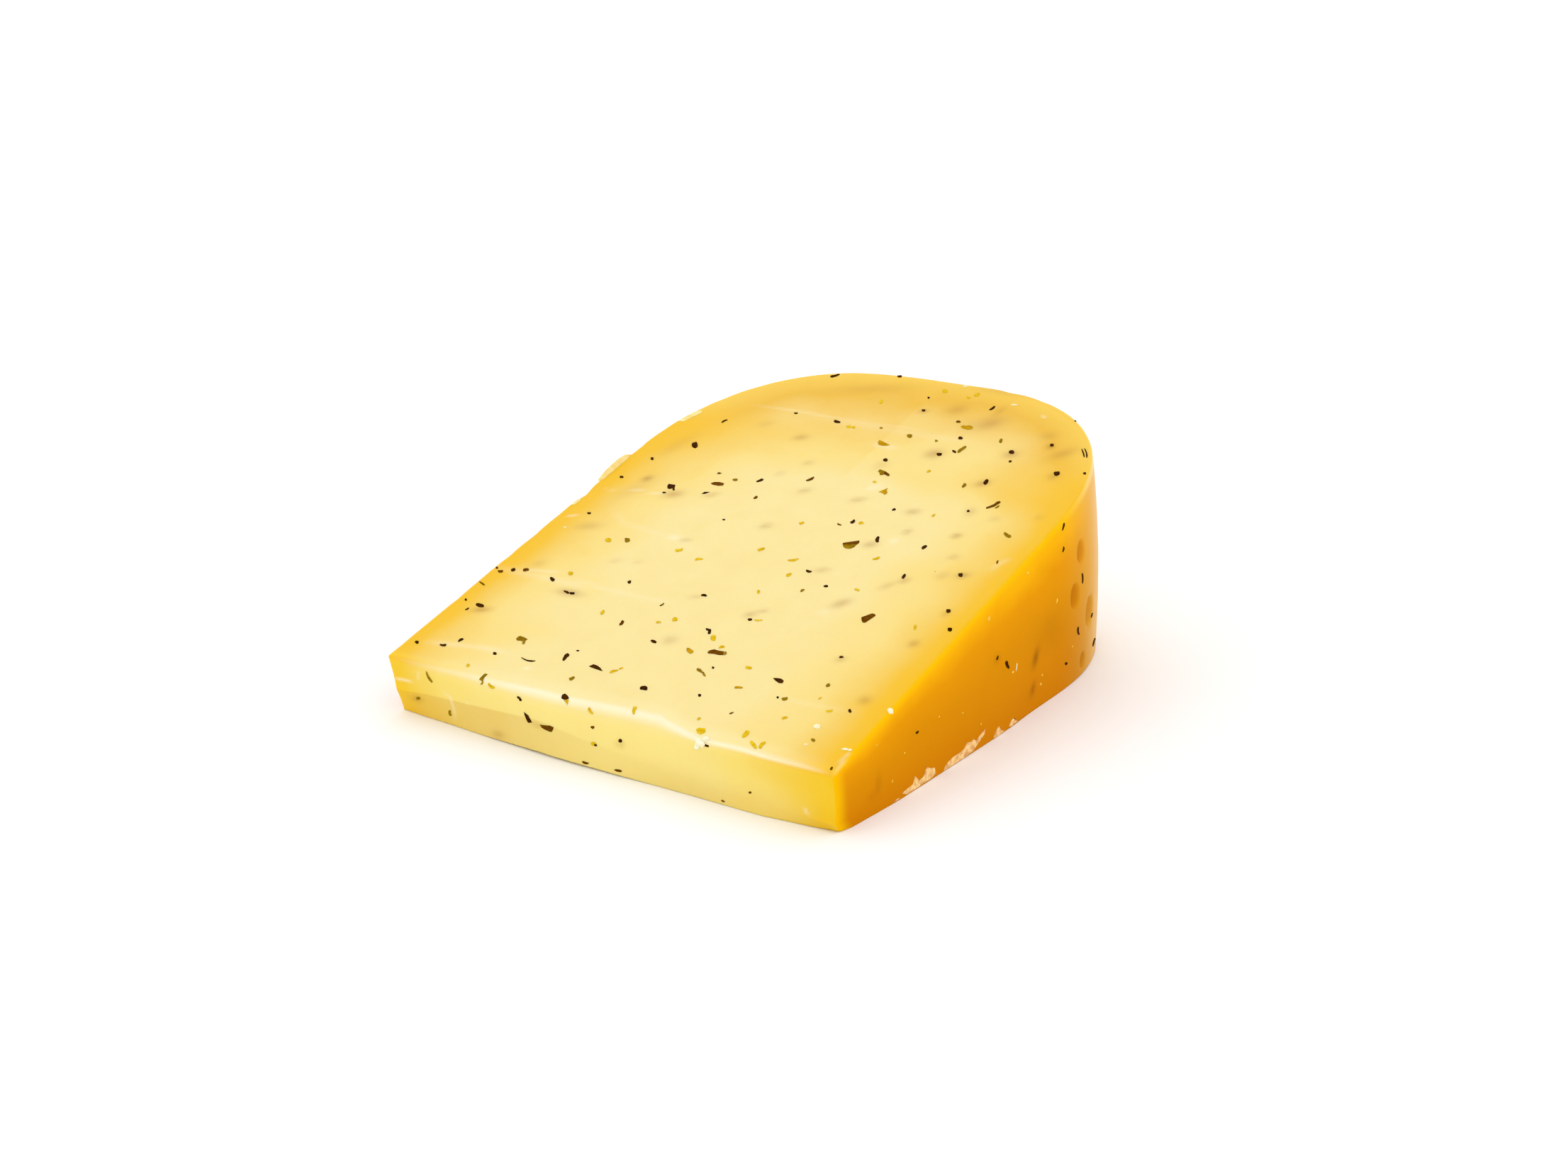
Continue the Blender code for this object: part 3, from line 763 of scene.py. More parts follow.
def write_finish(mesh, measured):
    """Keeps at each point the numbers that the paste's and the rind's materials read."""
    across, height, radius, rim, bulge, worn, from_side, from_tip, from_top, _ = measured
    furthest = 60.0
    write_attribute(mesh, "from_tip", np.minimum(from_tip / MM, furthest))
    write_attribute(mesh, "from_top", np.minimum(from_top / MM, furthest))
    write_attribute(mesh, "height", height)
    write_attribute(mesh, "rim", rim)

    # The golden border under the rind is wider round the rim, and on the right of the tip's face
    at_tip = 1.0 - smooth_step(0.0, 3.0 * MM, from_tip)
    on_left = across < 0.5
    band = np.maximum(from_side / MM - np.where(on_left, bulge, 0.0), 0.0)
    band = band * (1.0 - 0.53 * smooth_step(0.0, 0.25, rim))
    band = band * (1.0 - 0.2 * on_left * smooth_step(106.0 * MM, 122.0 * MM, radius))
    band = band * (1.0 - 0.36 * at_tip * smooth_step(0.55, 0.85, across) * smooth_step(0.25, 0.75, height))
    write_attribute(mesh, "band", np.minimum(band, furthest))

    # The worn edge gets a painted highlight, and the lower of the tip's two strokes and its foot get
    # painted shade
    worn_edge = np.clip(1.0 - np.maximum(from_tip, from_top) / worn, 0.0, 1.0)
    past_edge = (1.0 - smooth_step(0.0, 5.0 * MM, from_tip)) * (from_top < 0.1 * MM)
    highlight_strength = np.maximum(0.9 * smooth_step(0.4, 1.0, worn_edge), 0.35 * past_edge)
    write_attribute(mesh, "painted_edge_highlight", highlight_strength * read_off(EDGE_HIGHLIGHT, across))
    crease = read_off(CREASE_HEIGHTS, across)
    below = 1.0 - smooth_step(crease - 0.02, crease + 0.02, height)
    # Painted shade on the lower stroke and the foot, where less light reaches
    foot = read_off(FOOT_SHADE, across) * (1.0 - smooth_step(0.1, 0.6, height))
    low = np.maximum(below * read_off(STROKE_SHADE, across), foot)
    write_attribute(mesh, "painted_low_shade", low * at_tip)
    write_attribute(mesh, "tip_cut", at_tip * (1.0 - smooth_step(0.0, 0.9, worn_edge)))


def carve_wedge(mesh, measured):
    """Presses the knife's drags, the rind's unevenness and the scalloped back edge into the surface."""
    points = read_points(mesh)
    normals = read_normals(mesh)
    radius, height = measured.radius, measured.height
    unrolled = np.stack([points[:, 0], radius, height * radius * 0.3], axis=1)
    on_rind = 1.0 - smooth_step(0.0, 0.6 * MM, measured.from_side)

    slow = 0.5 + 0.5 * lumps(unrolled, 16.0 * MM, 11)
    drag = 0.5 + 0.5 * lumps(unrolled + 0.15 * unrolled[:, :1], (46.0 * MM, 3.2 * MM, 40.0 * MM), 12)
    knife = 0.10 * MM * slow + 0.06 * MM * drag
    broad = 0.5 + 0.5 * lumps(points, 13.0 * MM, 13)
    small = 0.5 + 0.5 * lumps(points, 3.5 * MM, 14)
    rind = 0.16 * MM * broad + 0.05 * MM * small
    swell = smooth_step(5.0 * MM, 30.0 * MM, points[:, 0]) * smooth_step(130.0 * MM, 155.0 * MM, radius)
    inwards = knife * (1.0 - on_rind) + (rind - 0.45 * MM * swell) * on_rind

    # Small scallops along the top edge of the rind, where the knife broke it
    edge = (1.0 - smooth_step(0.0, 2.2 * MM, measured.from_top)) * on_rind
    bites = np.maximum(lumps(unrolled, (4.5 * MM, 4.5 * MM, 40.0 * MM), 15), 0.0)
    inwards = inwards + edge * bites * 0.2 * MM

    # The underside is lifted clear of the ground, apart from a border that the wedge rests on
    border = np.minimum(np.minimum(measured.from_side, measured.from_tip), 20.0 * MM)
    underside = (measured.from_base < 0.01 * MM) * smooth_step(3.0 * MM, 9.0 * MM, border)
    inwards = inwards * np.where(measured.from_base < 0.01 * MM, 0.0, 1.0) + underside * 0.25 * MM
    moved = points - normals * inwards[:, None]

    # The foot of the tip's face bows up a little, and nothing goes below the ground
    gap = read_off(FOOT_GAPS, measured.across) * MM
    low = 1.0 - smooth_step(0.0, 3.0 * MM, measured.from_base)
    moved[:, 2] += gap * low * (1.0 - smooth_step(0.0, 8.0 * MM, measured.from_tip))
    moved[:, 2] = np.maximum(moved[:, 2], 0.0)
    write_points(mesh, moved)


def press(mesh, place, normal, along, half_long, half_broad, depth):
    """Presses an oval dent into the surface, and returns how far each point lies in its shaded side."""
    points = read_points(mesh)
    along = (along - normal * along.dot(normal)).normalized()
    beside = normal.cross(along)
    offset = points - np.array(place)
    a = offset @ np.array(along) / half_long
    b = offset @ np.array(beside) / half_broad
    c = offset @ np.array(normal) / (4.0 * MM)
    amount = np.exp(-(a * a + b * b) ** 2.5 - c * c)
    write_points(mesh, points - np.array(normal) * (amount * depth)[:, None])
    return amount * np.clip(0.7 + 0.6 * b, 0.0, 1.0)


def surface_of(piece):
    """A tree of the piece's surface, for casting rays on it."""
    return BVHTree.FromObject(piece, bpy.context.evaluated_depsgraph_get())


def seen_size(place):
    """The length that one pixel of the photograph covers at a place, square to the camera."""
    return (place - CAMERA_PLACE).dot(camera_axes()[2]) / FOCAL_PIXELS


def refine_dents(mesh):
    """Divides the faces round the rim's dents more finely, so that the dents keep crisp edges."""
    bm = bmesh.new()
    bm.from_mesh(mesh)
    surface = BVHTree.FromBMesh(bm)
    places = [seen_at(surface, column, row)[0] for column, row, _, _ in RIM_DENTS]
    reach = 3.5 * MM
    for face in bm.faces:
        middle = face.calc_center_median()
        face.tag = min((middle - place).length for place in places) < reach
    edges = [edge for edge in bm.edges if any(face.tag for face in edge.link_faces)]
    bmesh.ops.subdivide_edges(bm, edges=edges, cuts=2, use_grid_fill=True)
    bm.to_mesh(mesh)
    bm.free()


def dent_rim(piece, sizes):
    """The oval dents of the rim: the ones that show, and more like them round the hidden side."""
    surface = surface_of(piece)
    upright = Vector((0.0, -0.2, 1.0))
    total = np.zeros(len(piece.data.vertices))
    for column, row, long, broad in RIM_DENTS:
        place, normal = seen_at(surface, column, row)
        half_long = 0.9 * (on_plane(column, row - long / 2, place, normal) - place).length
        half_broad = 0.9 * (on_plane(column + broad / 2, row, place, normal) - place).length
        # The rim turns away there, so a dent's breadth is held to three quarters of its length
        half_broad = min(half_broad, 0.75 * half_long)
        total += press(piece.data, place, normal, upright, half_long, half_broad, half_broad)
    hidden_dents = 20
    random = np.random.default_rng(21)
    for _ in range(hidden_dents):
        turn = math.radians(random.uniform(40.0, 175.0))
        height = random.uniform(0.15, 0.85)
        target = Vector((0.45 * sizes.wheel_thickness * math.cos(turn),
                         AXIS_Y + sizes.rim_start + 50.0 * MM * math.sin(turn),
                         height * sizes.wheel_radius * math.sin(sizes.wedge_angle)))
        place, normal, _, _ = surface.find_nearest(target)
        size = random.uniform(0.7, 2.2) * MM
        long = size * random.uniform(1.2, 2.4)
        leaning = upright + Vector((random.uniform(-0.4, 0.4), 0.0, 0.0))
        darkness = random.uniform(0.3, 1.0)
        total += darkness * press(piece.data, place, normal, leaning, long, size, 0.4 * size)
    return np.clip(total, 0.0, 1.0)


def spread_over(piece, spots, surface):
    """The summed strength of blurred spots of the photograph at each point of a piece."""
    points = read_points(piece.data)
    total = np.zeros(len(points))
    for spot in (Smudge(*row) for row in spots):
        place, normal = seen_at(surface, spot.column, spot.row)
        if place is None:
            continue
        # Half widths along the surface, from where the rays through the spot's sides meet it
        cosine, sine = math.cos(math.radians(spot.turn)), math.sin(math.radians(spot.turn))
        half_wide, half_high = spot.wide / 2, spot.high / 2
        beyond = on_plane(spot.column + cosine * half_wide, spot.row - sine * half_wide, place, normal)
        above = on_plane(spot.column - sine * half_high, spot.row - cosine * half_high, place, normal)
        side, rise = beyond - place, above - place
        offset = points - np.array(place)
        along = side.normalized()
        beside = normal.cross(along)
        a = offset @ np.array(along) / side.length
        b = offset @ np.array(beside) / max(abs(rise.dot(beside)), 0.3 * MM)
        c = offset @ np.array(normal) / (1.5 * MM)
        total += spot.strength * np.exp(-(a * a + b * b + c * c))
    return total


def stroke_over(piece, strokes, surface):
    """The strength of soft strokes of the photograph at each point of a piece."""
    points = read_points(piece.data)
    total = np.zeros(len(points))
    for stroke in (Stroke(*row) for row in strokes):
        hits = [seen_at(surface, column, row) for column, row in stroke.path]
        hits = [hit for hit in hits if hit[0] is not None]
        count = len(hits) - 1
        for i in range(count):
            start, end = hits[i][0], hits[i + 1][0]
            half = 0.7 * stroke.breadth * seen_size(start)
            line = np.array(end - start)
            offset = points - np.array(start)
            share = np.clip(offset @ line / (line @ line), 0.0, 1.0)
            distance = np.linalg.norm(offset - share[:, None] * line, axis=1)
            along = (i + share) / count
            fade = np.minimum(1.0, 4.0 * np.minimum(along, 1.0 - along) + 0.2)
            spread = np.exp(-(distance / max(half, 0.35 * MM)) ** 2)
            total = np.maximum(total, stroke.strength * fade * spread)
    return total


def faces_camera(mesh):
    """Which of a mesh's points face the place that the photograph was taken from."""
    towards = np.array(CAMERA_PLACE) - read_points(mesh)
    return np.sum(towards * read_normals(mesh), axis=1) > 0.0


def hidden_smudges(mesh):
    """Blurred herbs under the surfaces that the photograph doesn't show."""
    points = read_points(mesh)
    count = 70
    random = np.random.default_rng(31)
    total = np.zeros(len(points))
    for _ in range(count):
        middle = points[random.integers(len(points))]
        size = random.uniform(0.7, 1.8) * MM
        offset = (points - middle) / (size * np.array([1.6, 1.0, 1.0]))
        total += random.uniform(0.1, 0.3) * np.exp(-np.sum(offset * offset, axis=1))
    return np.where(faces_camera(mesh), 0.0, total)


def new_material(name):
    """A new material, with its node tree and its shader."""
    material = bpy.data.materials.new(name)
    material.use_nodes = True
    tree = material.node_tree
    return material, tree, tree.nodes["Principled BSDF"]


def set_stops(ramp, stops):
    """Gives a ramp node its colours, each at its depth, from the ramp's start to the deepest at its end."""
    first, *between, last = stops
    deepest = last[0]
    elements = ramp.color_ramp.elements
    for element, (depth, colour) in zip(elements, (first, last)):
        element.position = depth / deepest
        element.color = (*colour, 1.0)
    for depth, colour in between:
        elements.new(depth / deepest).color = (*colour, 1.0)


def lay_over(tree, colour, layers):
    """Lays shades over a colour, one after the other, each by its own share. Returns the last mix."""
    for blend, share, shade in layers:
        colour = add_node(tree, "ShaderNodeMix", {"data_type": "RGBA", "blend_type": blend},
                          {0: share, 6: colour, 7: (*shade, 1.0)})
    return colour


def herb_shares(mesh, measured):
    """How many fine herbs there are at each point: all on the underside, and a few on the hidden rind."""
    border = np.minimum(measured.from_side, measured.from_tip)
    underside = smooth_step(7.0 * MM, 10.0 * MM, border)
    shares = np.where(measured.from_base < 0.1 * MM, underside, 0.0)
    hidden_rind = (measured.from_side < 0.05 * MM) & (measured.from_top > 1.0 * MM) & ~faces_camera(mesh)
    few = 0.14
    return np.where(hidden_rind, few, shares)


def paste_material(colours):
    """Semi-hard cheese paste, cut with a wire or a knife.

    The cut is moist and smooth, so it has a soft gloss, and light goes a few millimetres into it. It is
    creamy in the middle and more golden towards the rind, where it has dried.
    """
    material, tree, shader = new_material("cheese_paste_knife_cut")
    place = add_node(tree, "ShaderNodeTexCoord").outputs["Object"]
    kept = {name: add_node(tree, "ShaderNodeAttribute", {"attribute_name": name}).outputs["Fac"]
            for name in ("band", "rim", "smudge", "scrape", "painted_edge_highlight", "painted_low_shade", "tip_cut")}

    # The golden border's width wanders a little; round the rim its outside is pale, and a band of painted
    # shade lies further in
    wander = add_node(tree, "ShaderNodeTexNoise", inputs={
        "Vector": place, "Scale": per_mm(14.0), "Detail": 3.0})
    wandered = add_node(tree, "ShaderNodeMath", {"operation": "MULTIPLY_ADD"}, {0: wander, 1: 1.2, 2: 0.4})
    depth = add_node(tree, "ShaderNodeMath", {"operation": "MULTIPLY"}, {0: kept["band"], 1: wandered})
    border = 28.0
    share = add_node(tree, "ShaderNodeMapRange", inputs={0: depth, 1: 0.0, 2: border})
    flat_ramp = add_node(tree, "ShaderNodeValToRGB", inputs={0: share})
    set_stops(flat_ramp, ((0.0, colours.last_paste), (3.0, colours.outer_paste), (8.0, colours.ripe_paste),
                          (14.0, linear("#e9cf7b")), (border, colours.paste)))
    rim_ramp = add_node(tree, "ShaderNodeValToRGB", inputs={0: share})
    set_stops(rim_ramp, ((0.0, linear("#e9c14b")), (3.6, linear("#dfb038")), (8.5, linear("#e5c268")),
                         (14.0, linear("#e8ce7c")), (border, colours.paste)))
    round_rim = add_node(tree, "ShaderNodeMapRange", {"interpolation_type": "SMOOTHSTEP"},
                         {0: kept["rim"], 1: 0.30, 2: 0.60})
    base = add_node(tree, "ShaderNodeMix", {"data_type": "RGBA"}, {0: round_rim, 6: flat_ramp, 7: rim_ramp})

    # Faint clouds, browner where herbs lie under the surface, and the tip's face a clearer yellow, with
    # painted shade on its lower stroke and its foot. The worn edge gets a painted highlight, and the
    # scrapes are pale.
    cloud = add_node(tree, "ShaderNodeTexNoise", inputs={
        "Vector": place, "Scale": per_mm(7.0), "Detail": 2.0})
    cloudy = add_node(tree, "ShaderNodeMapRange", inputs={0: cloud, 1: 0.35, 2: 0.75, 3: 0.0, 4: 0.10})
    yellow = add_node(tree, "ShaderNodeMath", {"operation": "MULTIPLY"}, {0: kept["tip_cut"], 1: 0.25})
    finished = lay_over(tree, base, (
        ("MIX", cloudy, linear("#dcb962")),
        ("MIX", kept["smudge"], linear("#98561c")),
        ("MIX", yellow, linear("#f3dc27")),
        ("MULTIPLY", kept["painted_low_shade"], linear("#f4e9d9")),
        ("MIX", kept["painted_edge_highlight"], linear("#f0e8c6")),
        ("MIX", kept["scrape"], linear("#eee4c4"))))

    # The knife's fine drags, along the cut's own direction across the wheel
    stretched = add_node(tree, "ShaderNodeMapping", inputs={"Vector": place, "Scale": (0.12, 1.0, 1.0)})
    drags = add_node(tree, "ShaderNodeTexNoise", inputs={
        "Vector": stretched, "Scale": per_mm(1.6), "Detail": 2.0})
    grain = add_node(tree, "ShaderNodeTexNoise", inputs={
        "Vector": place, "Scale": per_mm(0.8), "Detail": 2.0})
    first = add_node(tree, "ShaderNodeBump", inputs={
        "Strength": 0.35, "Distance": 0.10 * MM, "Height": drags})
    second = add_node(tree, "ShaderNodeBump", inputs={
        "Strength": 0.25, "Distance": 0.05 * MM, "Height": grain, "Normal": first})
    gloss = add_node(tree, "ShaderNodeMapRange", inputs={0: cloud, 1: 0.3, 2: 0.7, 3: 0.34, 4: 0.46})
    fill(tree, shader, {
        "Base Color": finished, "Normal": second, "Roughness": gloss,
        "IOR": 1.45, "Specular IOR Level": 0.10,
        "Subsurface Weight": 0.35, "Subsurface Radius": (1.0, 0.6, 0.2), "Subsurface Scale": 1.2 * MM})
    return material


def rind_material(colours):
    """Natural cheese rind, pressed in a mould and coated with a thin clear wax.

    The wheel's flats are an even orange with fine grain, and nearly matt; their colour is painted golden
    where the cut lets light through, and darker at the foot as painted shade. The rim is tan and dented,
    and its thicker wax gives it soft reflections, which its paler tan also stands in for as painted sheen.
    """
    material, tree, shader = new_material("cheese_rind_waxed")
    place = add_node(tree, "ShaderNodeTexCoord").outputs["Object"]
    kept = {name: add_node(tree, "ShaderNodeAttribute", {"attribute_name": name}).outputs["Fac"]
            for name in ("from_top", "from_tip", "rim", "smudge", "height", "dent", "scrape")}

    # The flanks' orange with painted light: a deeper orange painted as shade at the foot, orange half way
    # up and a golden glow painted below the cut, in wandering patches
    patches = add_node(tree, "ShaderNodeTexNoise", inputs={
        "Vector": place, "Scale": per_mm(18.0), "Detail": 4.0})
    patchy = add_node(tree, "ShaderNodeMath", {"operation": "MULTIPLY_ADD"},
                      {0: patches, 1: 0.24, 2: -0.12})
    risen = add_node(tree, "ShaderNodeMath", {"operation": "ADD", "use_clamp": True},
                     {0: kept["height"], 1: patchy})
    flank = add_node(tree, "ShaderNodeValToRGB", inputs={0: risen})
    set_stops(flank, ((0.1, colours.shaded_rind), (0.5, linear("#d48900")), (0.74, colours.rind),
                      (0.9, linear("#f0aa00")), (1.0, linear("#f1b500"))))

    # How strongly the painted glow of the top edge and of the tip's corner, and the rim with its painted
    # sheen, show, from their distances
    top_edge, corner, round_rim, rim_sheen, on_rim = (
        add_node(tree, "ShaderNodeMapRange", {"interpolation_type": "SMOOTHSTEP"},
                 {0: kept[name], 1: start, 2: end, 3: near, 4: far})
        for name, start, end, near, far in (
            ("from_top", 0.3, 2.6, 0.75, 0.0), ("from_tip", 0.2, 4.5, 0.85, 0.0),
            ("rim", 0.05, 0.5, 0.0, 0.95), ("rim", 0.1, 0.65, 0.0, 0.8), ("rim", 0.1, 0.6, 0.0, 1.0)))
    lit = add_node(tree, "ShaderNodeMath", {"operation": "MAXIMUM"}, {0: top_edge, 1: corner})
    # The dents get painted shade: a darker orange, stronger on one side of each dent
    shaded = add_node(tree, "ShaderNodeMath", {"operation": "MULTIPLY"}, {0: kept["dent"], 1: 0.8})

    # The rim's tan is painted darker low down as shade and paler towards its middle as sheen, and the edges
    # that light shines through are painted golden
    rim = add_node(tree, "ShaderNodeMix", {"data_type": "RGBA"},
                   {0: risen, 6: (*linear("#c48c1e"), 1.0), 7: (*colours.rim_rind, 1.0)})
    sheened_rim = add_node(tree, "ShaderNodeMix", {"data_type": "RGBA"},
                     {0: rim_sheen, 6: rim, 7: (*linear("#e5ad48"), 1.0)})
    rimmed = add_node(tree, "ShaderNodeMix", {"data_type": "RGBA"}, {0: round_rim, 6: flank, 7: sheened_rim})
    dented = add_node(tree, "ShaderNodeMix", {"data_type": "RGBA"},
                      {0: shaded, 6: rimmed, 7: (*linear("#c27402"), 1.0)})
    edge = add_node(tree, "ShaderNodeMix", {"data_type": "RGBA"},
                    {0: on_rim, 6: (*colours.rind_edge, 1.0), 7: (*linear("#f8d98a"), 1.0)})
    edged = add_node(tree, "ShaderNodeMix", {"data_type": "RGBA"}, {0: lit, 6: dented, 7: edge})
    finished = lay_over(tree, edged, (
        ("MIX", kept["smudge"], linear("#844802")),
        ("MIX", kept["scrape"], linear("#efd98c"))))

    grain = add_node(tree, "ShaderNodeTexNoise", inputs={
        "Vector": place, "Scale": per_mm(0.7), "Detail": 3.0})
    pores = add_node(tree, "ShaderNodeTexNoise", inputs={
        "Vector": place, "Scale": per_mm(2.4), "Detail": 2.0})
    first = add_node(tree, "ShaderNodeBump", inputs={
        "Strength": 0.35, "Distance": 0.06 * MM, "Height": grain})
    second = add_node(tree, "ShaderNodeBump", inputs={
        "Strength": 0.30, "Distance": 0.15 * MM, "Height": pores, "Normal": first})
    gloss = add_node(tree, "ShaderNodeMapRange", inputs={0: kept["rim"], 1: 0.02, 2: 0.45, 3: 0.8, 4: 0.28})
    fill(tree, shader, {
        "Base Color": finished, "Normal": second, "Roughness": gloss,
        "IOR": 1.45, "Specular IOR Level": 0.03,
        "Subsurface Weight": 0.15, "Subsurface Radius": (1.0, 0.5, 0.1), "Subsurface Scale": 1.0 * MM})
    return material


def leaf_material(name, colour, shadow):
    """Dried herb leaf, rubbed small and soaked with whey: dull, and uneven from piece to piece."""
    material, tree, shader = new_material(name)
    place = add_node(tree, "ShaderNodeTexCoord").outputs["Object"]
    veins = add_node(tree, "ShaderNodeTexNoise", inputs={
        "Vector": place, "Scale": per_mm(0.9), "Detail": 3.0})
    share = add_node(tree, "ShaderNodeMapRange", inputs={0: veins, 1: 0.35, 2: 0.65})
    mixed = add_node(tree, "ShaderNodeMix", {"data_type": "RGBA"},
                     {0: share, 6: (*colour, 1.0), 7: (*shadow, 1.0)})
    bump = add_node(tree, "ShaderNodeBump", inputs={
        "Strength": 0.4, "Distance": 0.05 * MM, "Height": veins})
    fill(tree, shader, {"Base Color": mixed, "Normal": bump, "Roughness": 0.7, "Specular IOR Level": 0.01})
    return material


def crumb_material(name, colour, hollow_shade, cell, contrast):
    """Torn paste or rind: its broken surface scatters light, so it is paler and duller than a cut."""
    material, tree, shader = new_material(name)
    place = add_node(tree, "ShaderNodeTexCoord").outputs["Object"]
    rough = add_node(tree, "ShaderNodeTexNoise", inputs={
        "Vector": place, "Scale": per_mm(cell), "Detail": 2.0})
    bump = add_node(tree, "ShaderNodeBump", inputs={
        "Strength": 0.6, "Distance": 0.08 * MM, "Height": rough})
    # Painted shade: the noise mixes in the darker colour, standing in for the shade of the torn relief
    share = add_node(tree, "ShaderNodeMapRange", inputs={0: rough, 1: 0.4, 2: 0.65, 3: 0.0, 4: contrast})
    mixed = add_node(tree, "ShaderNodeMix", {"data_type": "RGBA"},
                     {0: share, 6: (*colour, 1.0), 7: (*hollow_shade, 1.0)})
    fill(tree, shader, {"Base Color": mixed, "Normal": bump, "Roughness": 0.6, "Subsurface Weight": 0.3,
                        "Subsurface Scale": 1.0 * MM})
    return material


def beyond_edge(column, row, place, normal):
    """Where a pixel past the wedge's left edge lies: on the touching plane, or at the side of the box."""
    flat = on_plane(column, row, place, normal)
    limit = CAD_LOW.x + 0.05 * MM
    if flat.x >= limit:
        return flat
    ray = photo_ray(column, row)
    return CAMERA_PLACE + ray * ((limit - CAMERA_PLACE.x) / ray.x)


def near_plane(surface, column, row, place, normal):
    """The surface's point at a pixel, or the touching plane's where the surface falls away from it."""
    flat = on_plane(column, row, place, normal)
    seen, _ = seen_at(surface, column, row)
    if seen is None or (seen - flat).length > 1.0 * MM:
        return flat
    return seen


def add_fleck(bm, surface, fleck, place, normal, settings, random):
    """One leaf fragment: a thin closed strip with an uneven outline, half sunk in the surface."""
    stations = 6
    # Half of the fleck's length and breadth, and a little more for its tapered ends
    spread = 0.58
    turn = math.radians(fleck.turn)
    along = Vector((math.cos(turn), math.sin(turn)))
    beside = Vector((-along.y, along.x))
    bend = random.uniform(-0.12, 0.12) * fleck.long
    taper = random.uniform(-0.25, 0.25)
    proud = settings.proud * random.uniform(0.6, 1.5)
    rings = []
    for i in range(stations):
        share = 2.0 * i / (stations - 1) - 1.0
        full = (1.0 - 0.5 * share ** 4.0) * (1.0 + taper * share)
        spine = along * (spread * fleck.long * share) + beside * (bend * (share * share - 0.5))
        ring = []
        for side in (1.0, -1.0):
            half = spread * fleck.broad * full * random.uniform(0.8, 1.12)
            pixel = spine + beside * (side * half)
            foot = near_plane(surface, fleck.column + pixel.x, fleck.row - pixel.y, place, normal)
            top = foot + (place - foot) * 0.12 + normal * proud * random.uniform(0.5, 1.2)
            ring.append((bm.verts.new(top), bm.verts.new(foot - normal * settings.sunk)))
        rings.append(ring)
    for (left, right), (next_left, next_right) in zip(rings, rings[1:]):
        bm.faces.new((left[0], right[0], next_right[0], next_left[0]))
        bm.faces.new((left[1], next_left[1], next_right[1], right[1]))
        bm.faces.new((left[0], next_left[0], next_left[1], left[1]))
        bm.faces.new((right[0], right[1], next_right[1], next_right[0]))
    for (left, right), flip in ((rings[0], False), (rings[-1], True)):
        corners = (left[0], left[1], right[1], right[0])
        bm.faces.new(corners[::-1] if flip else corners)


def add_slab(bm, hits, thickness, sunk, random):
    """One thin closed piece whose outline runs through the points of a surface."""
    middle = sum((place for place, _ in hits), Vector()) / len(hits)
    upper = []
    lower = []
    for place, normal in hits:
        inward = (middle - place) * 0.06
        upper.append(bm.verts.new(place + inward + normal * thickness * random.uniform(0.4, 1.2)))
        lower.append(bm.verts.new(place - normal * sunk))
    count = len(upper)
    for i in range(count):
        j = (i + 1) % count
        bm.faces.new((lower[i], lower[j], upper[j], upper[i]))
    bm.faces.new(upper)
    bm.faces.new(lower[::-1])


def make_piece(bm, name, material):
    """Turns finished pieces of mesh work into one piece that rides with the wedge."""
    bmesh.ops.triangulate(bm, faces=[face for face in bm.faces if len(face.verts) > 4])
    bmesh.ops.recalc_face_normals(bm, faces=bm.faces[:])
    mesh = bpy.data.meshes.new(name)
    bm.to_mesh(mesh)
    bm.free()
    mesh.materials.append(material)
    give(link(mesh, name))


def flecks_piece(name, rows, surface, settings, material):
    """All the flecks of one kind, as one piece."""
    random = np.random.default_rng(settings.seed)
    bm = bmesh.new()
    for fleck in (Fleck(*row) for row in rows):
        place, normal = seen_at(surface, fleck.column, fleck.row)
        if place is not None:
            add_fleck(bm, surface, fleck, place, normal, settings, random)
    for outline in HERB_OUTLINES.get(name, ()):
        hits = [seen_at(surface, column, row) for column, row in outline]
        add_slab(bm, hits, settings.proud, settings.sunk, random)
    make_piece(bm, name, material)


def slab_piece(name, outlines, surface, thickness, material):
    """Thin torn pieces that lie on the surface, each inside an outline of the photograph."""
    random = np.random.default_rng(43)
    bm = bmesh.new()
    for outline in outlines:
        seen = [seen_at(surface, column, row) for column, row in outline]
        first = next(hit for hit in seen if hit[0] is not None)
        hits = [hit if hit[0] is not None else (beyond_edge(*pixel, *first), first[1])
                for pixel, hit in zip(outline, seen)]
        add_slab(bm, hits, thickness, 0.3 * MM, random)
    make_piece(bm, name, material)


